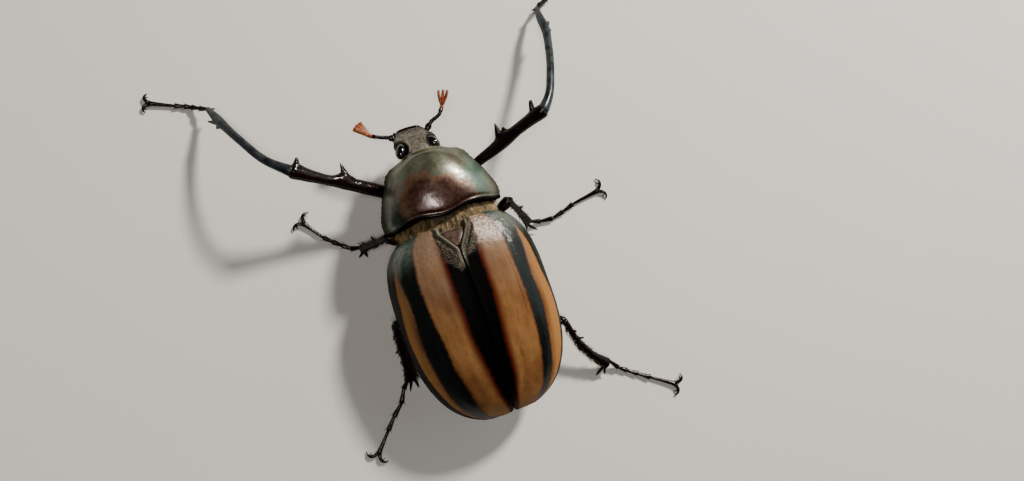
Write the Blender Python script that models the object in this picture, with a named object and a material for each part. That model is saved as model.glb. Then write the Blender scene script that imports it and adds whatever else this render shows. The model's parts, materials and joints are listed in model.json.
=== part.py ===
"""Long-armed scarab beetle, life size, standing still with its fore legs reaching forward.

All shapes are drawn in millimetres in the body's own frame and scaled to metres at the end.
The head points to -Y, the beetle's left side is +X, and the feet stand on z = 0.
"""

import math
from dataclasses import dataclass

import bmesh
import bpy
import numpy as np
from mathutils import Matrix, Vector

OBJECT_NAME = "long_armed_beetle"
MILLIMETRE = 0.001
GAP = 0.3                # kept between two pieces that touch

# Elytra, the two wing cases
ELYTRA_BASE_Y = -4.0
ELYTRA_APEX_Y = 35.1
ELYTRA_HALF_WIDTH = 15.5
ELYTRA_WIDEST_Y = 14.0
ELYTRA_REAR_REACH = 21.6
ELYTRA_FRONT_REACH = 19.0
ELYTRA_HEIGHT = 10.2
ELYTRA_HIGHEST_Y = 10.0
ELYTRA_REAR_FALL = 25.6
ELYTRA_MARGIN_Z = 10.4   # height of the side margin at the base
ELYTRA_MARGIN_FALL = 0.05

# Pronotum: half-width at a few places along the body
PRONOTUM_OUTLINE = ((-19.3, 4.9), (-18.2, 6.9), (-15.0, 9.1), (-11.0, 11.0), (-7.2, 12.0), (-5.6, 11.6))
PRONOTUM_FRONT_Y = -19.3
PRONOTUM_REAR_Y = -5.6
PRONOTUM_MARGIN_Z = 11.2
PRONOTUM_HEIGHT = 7.9
PRONOTUM_HIGHEST_Y = -9.5
PRONOTUM_FRONT_FALL = 12.0
PRONOTUM_REAR_FALL = 6.4

# Notch for the scutellum at the wing cases' roots, and the plate itself: place along the body, half-width
NOTCH_SECTIONS = ((-4.6, 2.65), (-2.5, 2.65), (1.0, 0.2))
NOTCH_Z = (14.2, 30.0)
SCUTELLUM_SECTIONS = (
    (-2.6, ((-2.2, 16.0), (2.2, 16.0), (2.2, 17.3), (0.0, 17.9), (-2.2, 17.3))),
    (0.4, ((-0.15, 17.9), (0.15, 17.9), (0.15, 19.0), (0.0, 19.1), (-0.15, 19.0))),
)

# Rear edge of the pronotum: between the middle and each corner it waves forward by twice this
PRONOTUM_WAVE = 0.45
PRONOTUM_WAVE_LENGTH = 11.5

# Mesothorax: the narrow furry waist that shows between the pronotum and the wing cases
WAIST_Z = 11.6
WAIST_HALF_WIDTH = 9.6
WAIST_RISE = 4.9
TONGUE_SECTIONS = ((-5.0, 16.2), (-2.9, 17.2))   # place along the body, top height
TONGUE_HALF_WIDTH = 2.3
TONGUE_FLOOR_Z = 14.6

# Height of the underside along the body
BELLY_Z = ((-19.0, 7.4), (-16.0, 5.6), (-12.0, 4.8), (-6.0, 4.8), (2.0, 3.9), (8.0, 3.6),
           (14.0, 3.7), (22.0, 4.1), (29.0, 4.9), (32.4, 5.4), (33.8, 6.4), (34.8, 7.9))
BELLY_INSET = 1.0        # how far the body stays inside the wing cases' margin
THORAX_SPLIT_Y = 13.6
STERNITE_Y = (15.6, 19.4, 23.0, 26.4, 29.4)
STERNITE_LENGTH = 1.8    # how far each belly ring's raised rear edge reaches forward
STERNITE_STEP = 0.3
BODY_TIP_Y = 34.8
TIP_HALF_WIDTH = 3.6
TIP_SEAM = Vector((0.0, 32.4, 6.9))       # the cut between the abdomen and its last plate
TIP_SLANT = Vector((0.0, 0.817, -0.577))

# Head: place along the body, height of crown and throat, half-width
HEAD_STATIONS = (
    (-18.8, 14.4, 8.0, 3.9),
    (-20.2, 14.4, 7.3, 4.05),
    (-21.4, 13.7, 7.0, 3.85),
    (-22.5, 12.7, 7.1, 3.4),
    (-23.5, 11.6, 7.6, 3.0),
    (-24.4, 10.7, 8.2, 2.85),
    (-24.95, 10.2, 8.8, 2.5),
)
HEAD_TURN = math.radians(7.0)     # to its left
HEAD_ROLL = math.radians(-12.0)   # left side up
HEAD_SLOPE = math.radians(40.0)   # how far the axis of the roll points down
HEAD_PIVOT = Vector((0.0, -19.6, 11.0))
EYE_RADIUS = 1.2
EYE_PLACE = (3.4, -20.7, 12.0)
MOUTH_STATIONS = ((-20.4, 6.7, 5.6, 1.6), (-22.4, 6.6, 5.4, 1.9), (-24.0, 7.4, 6.4, 1.5))
PALP_ROUTE = ((2.35, -22.0, 6.3), (2.7, -23.6, 6.6), (2.2, -25.3, 7.2))
PALP_RADII = ((0.0, 0.3, 0.3), (0.7, 0.38, 0.38), (1.0, 0.2, 0.2))

# Feelers: route of each stalk, then the directions in which its three leaves spread
STALK_RADII = ((0.0, 0.36), (0.22, 0.48), (0.36, 0.3), (0.8, 0.3), (1.0, 0.42))
LEAF_LENGTH = 3.2
LEAF_HEIGHT = 1.3
LEAF_THICKNESS = 0.55

HIP_ROOM = 0.9           # extra length of the channels past each hip
FLOOR_FOOT_Z = 0.4       # height of a toe joint's centre when it stands on the floor
TOE_JOINT_RADIUS = 0.46
TOE_NECK_RADIUS = 0.27
SPUR_RADIUS = 0.28
SPUR_ROOT = 0.6          # how far a spur's root starts inside the tibia
CLAW_MARKS = (           # along the foot, to the side, height, radius
    (-0.6, 0.0, 0.5, 0.3),
    (0.4, 0.45, 0.55, 0.3),
    (1.0, 1.1, 0.6, 0.27),
    (1.05, 1.9, 0.45, 0.2),
    (0.5, 2.5, 0.25, 0.09),
)


@dataclass(frozen=True)
class Feeler:
    """One antenna: the stalk's route and the bearings of its three leaves, in degrees from -Y."""

    route: tuple
    bearings: tuple


@dataclass(frozen=True)
class Leg:
    """One leg: its route from the body to the claws, and how thick each length is."""

    coxa: tuple          # inner end of the first joint, under the body
    femur: tuple         # from the hip to the knee
    tibia: tuple         # from the knee on
    toes: tuple          # the joints of the foot; one without a height stands on the floor
    coxa_radii: tuple    # in its middle and at the hip
    femur_radii: tuple   # (fraction, radius across, radius up)
    tibia_radii: tuple
    spurs: tuple         # at the tibia's end: (offset across, offset up, tip)
    tibia_teeth: tuple   # (root, tip, radius)
    femur_teeth: tuple = ()
    foot_side: float = 0.0   # how far the foot's root stands across from the tibia's middle
    claw_scale: float = 1.0


FEELERS = {
    "left": Feeler(
        route=((4.1, -23.75, 10.0), (5.2, -24.4, 9.8), (6.3, -24.8, 9.7), (7.75, -25.57, 9.5)),
        bearings=(20.0, 32.0, 45.0),
    ),
    "right": Feeler(
        route=((-3.3, -23.97, 10.0), (-4.68, -24.97, 10.0), (-6.25, -25.5, 10.0), (-6.96, -26.45, 9.5)),
        bearings=(-8.0, -24.0, -38.0),
    ),
}

FORE_FEMUR_LEFT = ((0.0, 1.2, 1.2), (0.35, 1.3, 1.3), (0.55, 1.15, 1.3), (0.72, 0.98, 1.1),
                   (0.88, 1.25, 1.25), (1.0, 1.3, 1.3))
FORE_FEMUR_RIGHT = ((0.0, 0.85, 1.0), (0.25, 0.8, 1.1), (0.42, 0.95, 1.2), (0.55, 1.25, 1.3),
                    (0.75, 1.15, 1.2), (1.0, 1.3, 1.3))
FORE_TIBIA = ((0.0, 1.2, 1.2), (0.12, 0.85, 0.95), (0.55, 0.72, 0.8), (0.82, 0.9, 0.8), (1.0, 0.55, 0.6))
MID_FEMUR = ((0.0, 1.0, 1.0), (0.5, 1.15, 1.1), (0.8, 1.05, 1.0), (1.0, 0.9, 0.9))
MID_TIBIA = ((0.0, 0.85, 0.8), (0.25, 0.62, 0.6), (1.0, 0.95, 0.7))
HIND_FEMUR = ((0.0, 1.15, 1.1), (0.45, 1.5, 1.2), (0.8, 1.1, 1.1), (1.0, 0.8, 0.9))
HIND_TIBIA = ((0.0, 0.75, 0.75), (0.2, 0.64, 0.62), (0.5, 0.87, 0.7), (0.75, 0.98, 0.7), (1.0, 1.2, 0.75))

LEGS = {
    "fore_left": Leg(
        coxa=(0.8, -11.6, 5.0),
        femur=((5.2, -12.2, 5.9), (9.5, -14.7, 8.3), (15.1, -17.9, 11.0), (19.3, -20.1, 13.2),
               (24.5, -23.2, 16.0)),
        tibia=((24.5, -23.2, 16.0), (28.4, -26.8, 15.0), (31.7, -32.3, 12.4), (34.4, -37.6, 8.4),
               (36.4, -42.2, 3.5)),
        toes=((38.1, -43.3, 1.9), (39.6, -44.3, 0.7), (40.9, -45.0), (42.7, -45.7), (47.4, -47.8)),
        coxa_radii=(2.0, 1.3),
        femur_radii=FORE_FEMUR_LEFT,
        tibia_radii=FORE_TIBIA,
        femur_teeth=(
            ((15.6, -18.2, 11.3), (15.4, -22.4, 12.2), 1.15),
            ((23.0, -22.3, 15.2), (22.8, -25.7, 16.0), 0.5),
        ),
        tibia_teeth=(
            ((35.6, -38.4, 7.4), (37.1, -39.3, 6.0), 0.75),
            ((34.4, -36.6, 8.8), (35.8, -37.1, 7.6), 0.6),
        ),
        spurs=((-0.2, 0.0, (35.1, -42.0, 3.4)),),
        claw_scale=0.8,
    ),
    "fore_right": Leg(
        coxa=(-0.8, -11.6, 5.0),
        femur=((-5.2, -12.2, 5.9), (-9.9, -13.9, 8.5), (-14.4, -15.3, 10.9), (-21.0, -17.6, 14.2),
               (-25.0, -18.7, 16.0)),
        tibia=((-25.0, -18.7, 16.0), (-27.1, -20.9, 15.3), (-29.6, -25.5, 13.3), (-32.0, -31.2, 10.0),
               (-33.8, -37.0, 6.2), (-34.4, -41.2, 3.1)),
        toes=((-35.6, -42.2, 1.9), (-37.6, -43.1), (-40.1, -44.4), (-42.6, -46.0), (-46.3, -48.3)),
        coxa_radii=(2.0, 1.3),
        femur_radii=FORE_FEMUR_RIGHT,
        tibia_radii=FORE_TIBIA,
        femur_teeth=(
            ((-16.6, -16.4, 11.6), (-15.7, -19.9, 12.0), 1.15),
            ((-23.6, -18.3, 15.2), (-23.3, -21.6, 16.0), 0.5),
        ),
        tibia_teeth=(
            ((-33.8, -36.4, 6.6), (-35.1, -37.2, 5.5), 0.75),
            ((-33.2, -34.4, 7.9), (-34.8, -35.3, 6.6), 0.65),
        ),
        spurs=((0.1, 0.3, (-33.0, -41.2, 3.2)),),
        claw_scale=0.8,
    ),
    "mid_left": Leg(
        coxa=(0.9, 1.0, 4.3),
        femur=((3.6, 0.2, 4.9), (7.6, -2.8, 7.4), (11.6, -5.8, 9.3)),
        tibia=((11.6, -5.8, 9.3), (14.3, -5.7, 6.0), (17.3, -5.9, 2.0)),
        toes=((19.4, -6.5, 0.8), (20.8, -7.7), (22.4, -9.1), (23.9, -10.6), (26.7, -14.7)),
        coxa_radii=(1.5, 1.1),
        femur_radii=MID_FEMUR,
        tibia_radii=MID_TIBIA,
        tibia_teeth=(((14.4, -5.6, 5.9), (14.8, -7.2, 6.2), 0.35),),
        spurs=((-0.62, 0.2, (17.3, -3.4, 1.2)), (-0.62, -0.2, (18.6, -4.2, 0.9))),
        foot_side=0.2,
    ),
    "mid_right": Leg(
        coxa=(-0.9, 1.0, 4.3),
        femur=((-3.6, 0.2, 4.9), (-8.8, -2.4, 7.5), (-13.5, -4.6, 9.3)),
        tibia=((-13.5, -4.6, 9.3), (-15.5, -2.4, 5.8), (-17.4, 0.3, 2.0)),
        toes=((-19.7, 1.4, 0.8), (-22.5, 1.7), (-25.2, 1.1), (-27.7, 0.3), (-34.0, -0.6)),
        coxa_radii=(1.5, 1.1),
        femur_radii=MID_FEMUR,
        tibia_radii=MID_TIBIA,
        tibia_teeth=(((-15.5, -2.4, 5.9), (-16.9, -3.0, 6.2), 0.35),),
        spurs=((0.62, 0.2, (-16.5, 2.4, 1.2)), (0.66, -0.2, (-18.8, 3.0, 0.8))),
        foot_side=-0.2,
    ),
    "hind_left": Leg(
        coxa=(0.7, 12.2, 4.0),
        femur=((2.7, 12.2, 4.2), (9.4, 12.0, 6.2), (16.3, 11.0, 8.0)),
        tibia=((16.3, 11.0, 8.0), (16.7, 13.7, 6.5), (16.8, 18.3, 4.1), (17.4, 22.6, 2.0)),
        toes=((19.0, 24.2, 0.8), (20.5, 26.9), (22.8, 28.9), (24.9, 31.2), (28.3, 34.9)),
        coxa_radii=(1.3, 1.15),
        femur_radii=HIND_FEMUR,
        tibia_radii=HIND_TIBIA,
        tibia_teeth=(
            ((16.7, 13.2, 6.6), (17.8, 13.9, 6.4), 0.35),
            ((16.9, 16.0, 5.2), (18.2, 16.7, 4.8), 0.4),
        ),
        spurs=((-0.3, -0.2, (18.0, 25.3, 0.9)), (-0.8, 0.1, (16.1, 25.1, 1.2))),
        foot_side=0.75,
    ),
    "hind_right": Leg(
        coxa=(-0.7, 12.2, 4.0),
        femur=((-2.7, 12.6, 4.2), (-9.4, 17.8, 5.9), (-16.2, 22.3, 7.5)),
        tibia=((-16.2, 22.3, 7.5), (-16.8, 24.5, 6.6), (-17.9, 27.8, 5.2), (-19.6, 31.2, 3.6),
               (-21.8, 34.1, 2.0)),
        toes=((-24.2, 35.9, 0.8), (-25.8, 37.3), (-27.9, 39.0), (-30.5, 40.9), (-35.2, 44.1)),
        coxa_radii=(1.3, 1.15),
        femur_radii=HIND_FEMUR,
        tibia_radii=HIND_TIBIA,
        tibia_teeth=(
            ((-18.3, 27.0, 5.6), (-19.2, 27.3, 5.6), 0.35),
            ((-17.3, 24.9, 6.4), (-18.2, 25.4, 6.2), 0.3),
        ),
        spurs=((0.9, 0.1, (-19.7, 36.2, 0.9)), (0.3, -0.2, (-21.5, 36.7, 0.8))),
        foot_side=-0.8,
    ),
}

MATERIALS = {
    "wing_case": ((0.35, 0.15, 0.06), 0.35, 0.0),
    "bronze": ((0.09, 0.11, 0.08), 0.3, 0.6),
    "black_shell": ((0.02, 0.013, 0.012), 0.25, 0.0),
    "steel_shell": ((0.035, 0.04, 0.048), 0.25, 0.2),
    "grey_shell": ((0.12, 0.1, 0.085), 0.5, 0.2),
    "brown_fur": ((0.36, 0.2, 0.07), 0.8, 0.0),
    "purple_shell": ((0.08, 0.03, 0.04), 0.3, 0.0),
    "eye": ((0.01, 0.01, 0.012), 0.08, 0.0),
    "feeler_leaf": ((0.55, 0.16, 0.04), 0.45, 0.0),
}


def clear_scene():
    """Start from an empty scene."""
    for item in list(bpy.data.objects):
        bpy.data.objects.remove(item, do_unlink=True)


def new_collection(name):
    """Collection linked to the scene."""
    collection = bpy.data.collections.new(name)
    bpy.context.scene.collection.children.link(collection)
    return collection


def new_material(name):
    """Principled material of the named colour, roughness and metallic value."""
    colour, roughness, metallic = MATERIALS[name]
    material = bpy.data.materials.new(name)
    material.use_nodes = True
    shader = material.node_tree.nodes["Principled BSDF"]
    shader.inputs["Base Color"].default_value = (*colour, 1.0)
    shader.inputs["Roughness"].default_value = roughness
    shader.inputs["Metallic"].default_value = metallic
    return material


def new_object(name, bm, collection, material=None):
    """Object from a bmesh, with its faces pointing out."""
    bmesh.ops.recalc_face_normals(bm, faces=bm.faces)
    mesh = bpy.data.meshes.new(name)
    bm.to_mesh(mesh)
    bm.free()
    item = bpy.data.objects.new(name, mesh)
    collection.objects.link(item)
    if material:
        mesh.materials.append(material)
    return item


def along(points, place):
    """Value at a place on a smooth curve through (place, value...) points."""
    xs = np.array([point[0] for point in points])
    ys = np.array([point[1:] for point in points])
    slopes = np.gradient(ys, xs, axis=0)
    index = int(np.clip(np.searchsorted(xs, place) - 1, 0, len(xs) - 2))
    width = xs[index + 1] - xs[index]
    t = float(np.clip((place - xs[index]) / width, 0.0, 1.0))
    start = (2 * t**3 - 3 * t**2 + 1) * ys[index] + (t**3 - 2 * t**2 + t) * width * slopes[index]
    end = (3 * t**2 - 2 * t**3) * ys[index + 1] + (t**3 - t**2) * width * slopes[index + 1]
    return start + end


def rounded(angle, half_width, half_height, power):
    """Point at an angle on a rounded-box outline; power 2 is an ellipse."""
    c, s = math.cos(angle), math.sin(angle)
    reach = (abs(c) ** power + abs(s) ** power) ** (-1.0 / power)
    return half_width * c * reach, half_height * s * reach


def bulge(distance, reach, power):
    """Falls from 1 at no distance to 0 at the full reach, as a rounded shoulder."""
    return (1.0 - min(1.0, abs(distance) / reach) ** power) ** (1.0 / power)


def loft(bm, rings):
    """Closed skin through rings of equal point counts, capped flat at both ends."""
    loops = [[bm.verts.new(point) for point in ring] for ring in rings]
    count = len(loops[0])
    for near, far in zip(loops, loops[1:]):
        for i in range(count):
            j = (i + 1) % count
            bm.faces.new((near[i], near[j], far[j], far[i]))
    bm.faces.new(loops[0])
    bm.faces.new(loops[-1])


def loft_object(name, rings, collection, material=None):
    """Object made of one loft."""
    bm = bmesh.new()
    loft(bm, rings)
    return new_object(name, bm, collection, material)


def largest_shell(bm):
    """Keep only the largest closed surface."""
    bm.verts.ensure_lookup_table()
    unseen = set(bm.verts)
    shells = []
    while unseen:
        todo = [unseen.pop()]
        shell = set(todo)
        while todo:
            for edge in todo.pop().link_edges:
                for vert in edge.verts:
                    if vert in unseen:
                        unseen.remove(vert)
                        shell.add(vert)
                        todo.append(vert)
        shells.append(shell)
    keep = max(shells, key=len)
    bmesh.ops.delete(bm, geom=[vert for vert in bm.verts if vert not in keep], context="VERTS")


def apply_boolean(item, pieces, operation, solver="EXACT"):
    """Join a collection of pieces to the object, or cut it by them, and apply the result."""
    modifier = item.modifiers.new("shape", "BOOLEAN")
    modifier.operation = operation
    modifier.operand_type = "COLLECTION"
    modifier.collection = pieces
    modifier.solver = solver
    evaluated = item.evaluated_get(bpy.context.evaluated_depsgraph_get())
    mesh = bpy.data.meshes.new_from_object(evaluated)
    item.modifiers.clear()
    bm = bmesh.new()
    bm.from_mesh(mesh)
    bmesh.ops.triangulate(bm, faces=bm.faces)
    largest_shell(bm)
    bm.to_mesh(item.data)
    bm.free()
    bpy.data.meshes.remove(mesh)


def fuse(item, bms, solver="EXACT"):
    """Union of loose closed pieces with the object."""
    pieces = new_collection("pieces")
    for index, bm in enumerate(bms):
        new_object(f"piece_{index}", bm, pieces)
    apply_boolean(item, pieces, "UNION", solver)
    drop_collection(pieces)


def drop_collection(collection):
    """Remove a collection and what it holds."""
    for item in list(collection.objects):
        bpy.data.objects.remove(item, do_unlink=True)
    bpy.data.collections.remove(collection)


def cut_plane(item, point, normal):
    """Cut away what lies on the far side of a plane and close the cut."""
    bm = bmesh.new()
    bm.from_mesh(item.data)
    everything = [*bm.verts, *bm.edges, *bm.faces]
    cut = bmesh.ops.bisect_plane(
        bm, geom=everything, dist=0.0001, plane_co=point, plane_no=normal, clear_outer=True
    )
    edges = [part for part in cut["geom_cut"] if isinstance(part, bmesh.types.BMEdge)]
    if edges:
        bmesh.ops.contextual_create(bm, geom=edges)
        bmesh.ops.triangulate(bm, faces=bm.faces)
        bmesh.ops.recalc_face_normals(bm, faces=bm.faces)
    bm.to_mesh(item.data)
    bm.free()


def elytra_half_width(y):
    """Half-width of the closed wing cases at a place along the body."""
    if y > ELYTRA_WIDEST_Y:
        return ELYTRA_HALF_WIDTH * bulge(y - ELYTRA_WIDEST_Y, ELYTRA_REAR_REACH, 2.5)
    return ELYTRA_HALF_WIDTH * bulge(y - ELYTRA_WIDEST_Y, ELYTRA_FRONT_REACH, 3.5)


def elytra_height(y):
    """Height of the wing cases' back above their margin."""
    reach = ELYTRA_REAR_FALL if y > ELYTRA_HIGHEST_Y else ELYTRA_FRONT_REACH
    return ELYTRA_HEIGHT * bulge(y - ELYTRA_HIGHEST_Y, reach, 2.1)


def elytra_margin_z(y):
    """Height of the wing cases' side margin."""
    return ELYTRA_MARGIN_Z - ELYTRA_MARGIN_FALL * (y - ELYTRA_BASE_Y)


def pronotum_height(y):
    """Height of the pronotum's back above its margin."""
    reach = PRONOTUM_REAR_FALL if y > PRONOTUM_HIGHEST_Y else PRONOTUM_FRONT_FALL
    return PRONOTUM_HEIGHT * bulge(y - PRONOTUM_HIGHEST_Y, reach, 2.1)


def eased(start, end, count):
    """Places from start to end, set closer towards both ends."""
    return [start + (end - start) * (1 - math.cos(math.pi * i / (count - 1))) / 2 for i in range(count)]


def build_elytra(collection, material):
    """Two wing cases that meet along the back, with room for the scutellum."""
    notch = new_collection("notch")
    low, high = NOTCH_Z
    rings = [[(x, y, z) for x, z in ((-w, low), (w, low), (w, high), (-w, high))] for y, w in NOTCH_SECTIONS]
    loft_object("notch_tool", rings, notch)
    for side, name in ((1, "elytron_left"), (-1, "elytron_right")):
        rings = []
        for y in eased(ELYTRA_BASE_Y, ELYTRA_APEX_Y, 19):
            width, height, margin = elytra_half_width(y), elytra_height(y), elytra_margin_z(y)
            ring = []
            for step in range(13):
                x, z = rounded(math.pi / 2 * (1 - step / 12), width, height, 2.2)
                ring.append((side * max(x, GAP / 2), y, margin + z))
            ring.append((side * GAP / 2, y, margin))
            rings.append(ring)
        item = loft_object(name, rings, collection, material)
        apply_boolean(item, notch, "DIFFERENCE")
    drop_collection(notch)


def build_pronotum(collection, material):
    """Domed shield over the front of the body."""
    rings = []
    for y in eased(PRONOTUM_FRONT_Y, PRONOTUM_REAR_Y, 13):
        width, height = float(along(PRONOTUM_OUTLINE, y)[0]), pronotum_height(y)
        wave = PRONOTUM_WAVE * ((y - PRONOTUM_FRONT_Y) / (PRONOTUM_REAR_Y - PRONOTUM_FRONT_Y)) ** 4
        ring = []
        for step in range(23):
            x, z = rounded(math.pi * step / 22, width, height, 2.1)
            shift = wave * (math.cos(math.tau * x / PRONOTUM_WAVE_LENGTH) - 1)
            ring.append((x, y + shift, PRONOTUM_MARGIN_Z + z))
        rings.append(ring)
    loft_object("pronotum", rings, collection, material)


def trough(y, half_width, top, bottom):
    """Section of the underbody: flat above, rounded keel below."""
    ring = []
    for step in range(17):
        x, z = rounded(math.pi * (1 + step / 16), half_width, top - bottom, 1.8)
        ring.append((x, y, top + z))
    return ring


def belly_z(y):
    """Height of the underside at a place along the body."""
    return float(along(BELLY_Z, y)[0])


def build_underbody(collection, fur, shell):
    """Prothorax, mesothorax, metathorax, abdomen and pygidium under the shields."""
    top = PRONOTUM_MARGIN_Z - GAP
    rings = []
    for y in eased(PRONOTUM_FRONT_Y + 0.3, PRONOTUM_REAR_Y, 9):
        width = float(along(PRONOTUM_OUTLINE, y)[0]) - BELLY_INSET
        rings.append(trough(y, width, top, belly_z(y)))
    prothorax = loft_object("prothorax", rings, collection, fur)

    rings = []
    for y in (PRONOTUM_REAR_Y + GAP, ELYTRA_BASE_Y - GAP):
        ring = []
        for step in range(24):
            angle = math.tau * step / 24
            depth = WAIST_RISE if math.sin(angle) > 0 else WAIST_Z - belly_z(y)
            x, z = rounded(angle, WAIST_HALF_WIDTH, depth, 2.1)
            ring.append((x, y, WAIST_Z + z))
        rings.append(ring)
    mesothorax = loft_object("mesothorax", rings, collection, fur)
    tongue = bmesh.new()
    w, low = TONGUE_HALF_WIDTH, TONGUE_FLOOR_Z
    loft(tongue, [
        [(x, y, z) for x, z in ((-w, low), (w, low), (w, high), (-w, high))] for y, high in TONGUE_SECTIONS
    ])
    fuse(mesothorax, [tongue])

    edges = (y + side for y in STERNITE_Y for side in (-0.1, 0.1))
    rings = []
    for y in sorted([*eased(ELYTRA_BASE_Y, BODY_TIP_Y, 12), *edges]):
        width = max(elytra_half_width(y) - BELLY_INSET, TIP_HALF_WIDTH)
        raised = y > THORAX_SPLIT_Y and any(mark - STERNITE_LENGTH < y < mark for mark in STERNITE_Y)
        rings.append(trough(y, width, elytra_margin_z(y) - GAP, belly_z(y) - STERNITE_STEP * raised))
    lengths = {}
    for name, material in (("metathorax", fur), ("abdomen", shell), ("pygidium", shell)):
        lengths[name] = loft_object(name, rings, collection, material)
    cut_plane(lengths["metathorax"], (0, THORAX_SPLIT_Y - GAP / 2, 0), (0, 1, 0))
    cut_plane(lengths["abdomen"], (0, THORAX_SPLIT_Y + GAP / 2, 0), (0, -1, 0))
    cut_plane(lengths["abdomen"], TIP_SEAM - TIP_SLANT * GAP / 2, TIP_SLANT)
    cut_plane(lengths["pygidium"], TIP_SEAM + TIP_SLANT * GAP / 2, -TIP_SLANT)
    return [prothorax, mesothorax, *lengths.values()]


def build_scutellum(collection, material):
    """Small three-cornered plate between the roots of the wing cases."""
    rings = [[(x, y, z) for x, z in section] for y, section in SCUTELLUM_SECTIONS]
    loft_object("scutellum", rings, collection, material)


def head_matrix():
    """Turn of the head to its left, with its left side raised a little."""
    slope = Matrix.Rotation(HEAD_SLOPE, 4, "X")
    roll = slope @ Matrix.Rotation(HEAD_ROLL, 4, "Y") @ slope.inverted()
    turn = Matrix.Rotation(HEAD_TURN, 4, "Z")
    return Matrix.Translation(HEAD_PIVOT) @ turn @ roll @ Matrix.Translation(-HEAD_PIVOT)


def flattened_rings(stations, sides, power):
    """Rounded-box rings from (place along the body, top, bottom, half-width)."""
    rings = []
    for y, high, low, width in stations:
        ring = []
        for step in range(sides):
            x, z = rounded(math.tau * step / sides, width, (high - low) / 2, power)
            ring.append((x, y, (high + low) / 2 + z))
        rings.append(ring)
    return rings


def eyeball(name, side, radius, collection, material=None):
    """Sphere at an eye's place."""
    place = Matrix.Translation((side * EYE_PLACE[0], EYE_PLACE[1], EYE_PLACE[2]))
    bm = bmesh.new()
    bmesh.ops.create_uvsphere(bm, u_segments=14, v_segments=9, radius=radius, matrix=place)
    return new_object(name, bm, collection, material)


def build_head(collection, shell, eye_material, dark):
    """Head with its eyes, lower mouthparts and palps, all turned together."""
    head = loft_object("head", flattened_rings(HEAD_STATIONS, 20, 2.6), collection, shell)
    sockets = new_collection("sockets")
    made = [head]
    for side, name in ((1, "eye_left"), (-1, "eye_right")):
        eyeball("socket", side, EYE_RADIUS + GAP, sockets)
        made.append(eyeball(name, side, EYE_RADIUS, collection, eye_material))
    apply_boolean(head, sockets, "DIFFERENCE")
    drop_collection(sockets)
    made.append(loft_object("mouthparts", flattened_rings(MOUTH_STATIONS, 12, 2.4), collection, dark))
    for side, name in ((1, "palp_left"), (-1, "palp_right")):
        route = [(side * x, y, z) for x, y, z in PALP_ROUTE]
        made.append(limb(name, route, PALP_RADII, 8, 5, collection, dark))
    turn = head_matrix()
    for item in made:
        item.data.transform(turn)
        cut_plane(item, (0, PRONOTUM_FRONT_Y - GAP, 0), (0, 1, 0))


def route_points(route, count):
    """Points and directions at even steps on a smooth curve through the route."""
    points = np.array(route, dtype=float)
    lengths = np.concatenate([[0.0], np.cumsum(np.linalg.norm(np.diff(points, axis=0), axis=1))])
    table = [(length, *point) for length, point in zip(lengths, points)]
    places = np.linspace(0.0, lengths[-1], count)
    small = lengths[-1] * 0.001
    found = []
    for place in places:
        here = along(table, place)
        ahead = along(table, min(place + small, lengths[-1]))
        behind = along(table, max(place - small, 0.0))
        found.append((Vector(here), Vector(ahead - behind).normalized()))
    return found


def tube_rings(stations, sides, start_normal=None, end_normal=None):
    """Rings of (point, direction, radius across, radius up), the end rings laid in the given planes."""
    rings = []
    for index, (point, direction, across, up) in enumerate(stations):
        side = direction.cross(Vector((0, 0, 1))).normalized()
        rise = side.cross(direction)
        ring = []
        normal = direction
        if index == 0 and start_normal:
            normal = start_normal
        if index == len(stations) - 1 and end_normal:
            normal = end_normal
        for step in range(sides):
            angle = math.tau * step / sides
            spot = side * (across * math.cos(angle)) + rise * (up * math.sin(angle))
            spot -= direction * (spot.dot(normal) / direction.dot(normal))
            ring.append(point + spot)
        rings.append(ring)
    return rings


def limb(name, route, radii, sides, count, collection, material, start_normal=None, end_normal=None):
    """Tapered tube along a route, with half a gap left off each end that meets another length."""
    stations = []
    found = route_points(route, count)
    for index, (point, direction) in enumerate(found):
        across, up = along(radii, index / (count - 1))
        stations.append([point, direction, float(across), float(up)])
    if start_normal:
        stations[0][0] = stations[0][0] + start_normal * (GAP / 2)
    if end_normal:
        stations[-1][0] = stations[-1][0] - end_normal * (GAP / 2)
    return loft_object(name, tube_rings(stations, sides, start_normal, end_normal), collection, material)


def spike(root, tip, radius, sides=6):
    """Cone from a sunk root to a sharp tip."""
    root, tip = Vector(root), Vector(tip)
    bm = bmesh.new()
    turn = (tip - root).to_track_quat("Z", "Y").to_matrix().to_4x4()
    bmesh.ops.create_cone(
        bm, cap_ends=True, segments=sides, radius1=radius, radius2=radius * 0.12, depth=(tip - root).length,
        matrix=Matrix.Translation((root + tip) / 2) @ turn,
    )
    return bm


def build_feeler(name, feeler, collection, dark, orange):
    """Stalk and fanned club of one antenna."""
    radii = [(place, radius, radius) for place, radius in STALK_RADII]
    stalk = limb(f"feeler_{name}", feeler.route, radii, 8, 9, collection, dark)
    end, direction = route_points(feeler.route, 9)[-1]
    root = end + direction * (GAP + 0.45)
    bm = bmesh.new()
    bmesh.ops.create_uvsphere(bm, u_segments=10, v_segments=6, radius=0.5, matrix=Matrix.Translation(root))
    club = new_object(f"club_{name}", bm, collection, orange)
    leaves = []
    for index, bearing in enumerate(feeler.bearings):
        angle = math.radians(bearing)
        way = Vector((math.sin(angle), -math.cos(angle), -0.06)).normalized()
        stations = []
        for place, wide in ((0.0, 0.5), (0.3, 0.8), (0.65, 1.0), (0.9, 0.85), (1.0, 0.45)):
            point = root + way * (LEAF_LENGTH * place + 0.05 * index)
            stations.append((point, way, LEAF_THICKNESS / 2 * (0.7 + 0.3 * wide), LEAF_HEIGHT / 2 * wide))
        leaf = bmesh.new()
        loft(leaf, tube_rings(stations, 8))
        leaves.append(leaf)
    fuse(club, leaves, "MANIFOLD")
    return [stalk, club]


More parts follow.
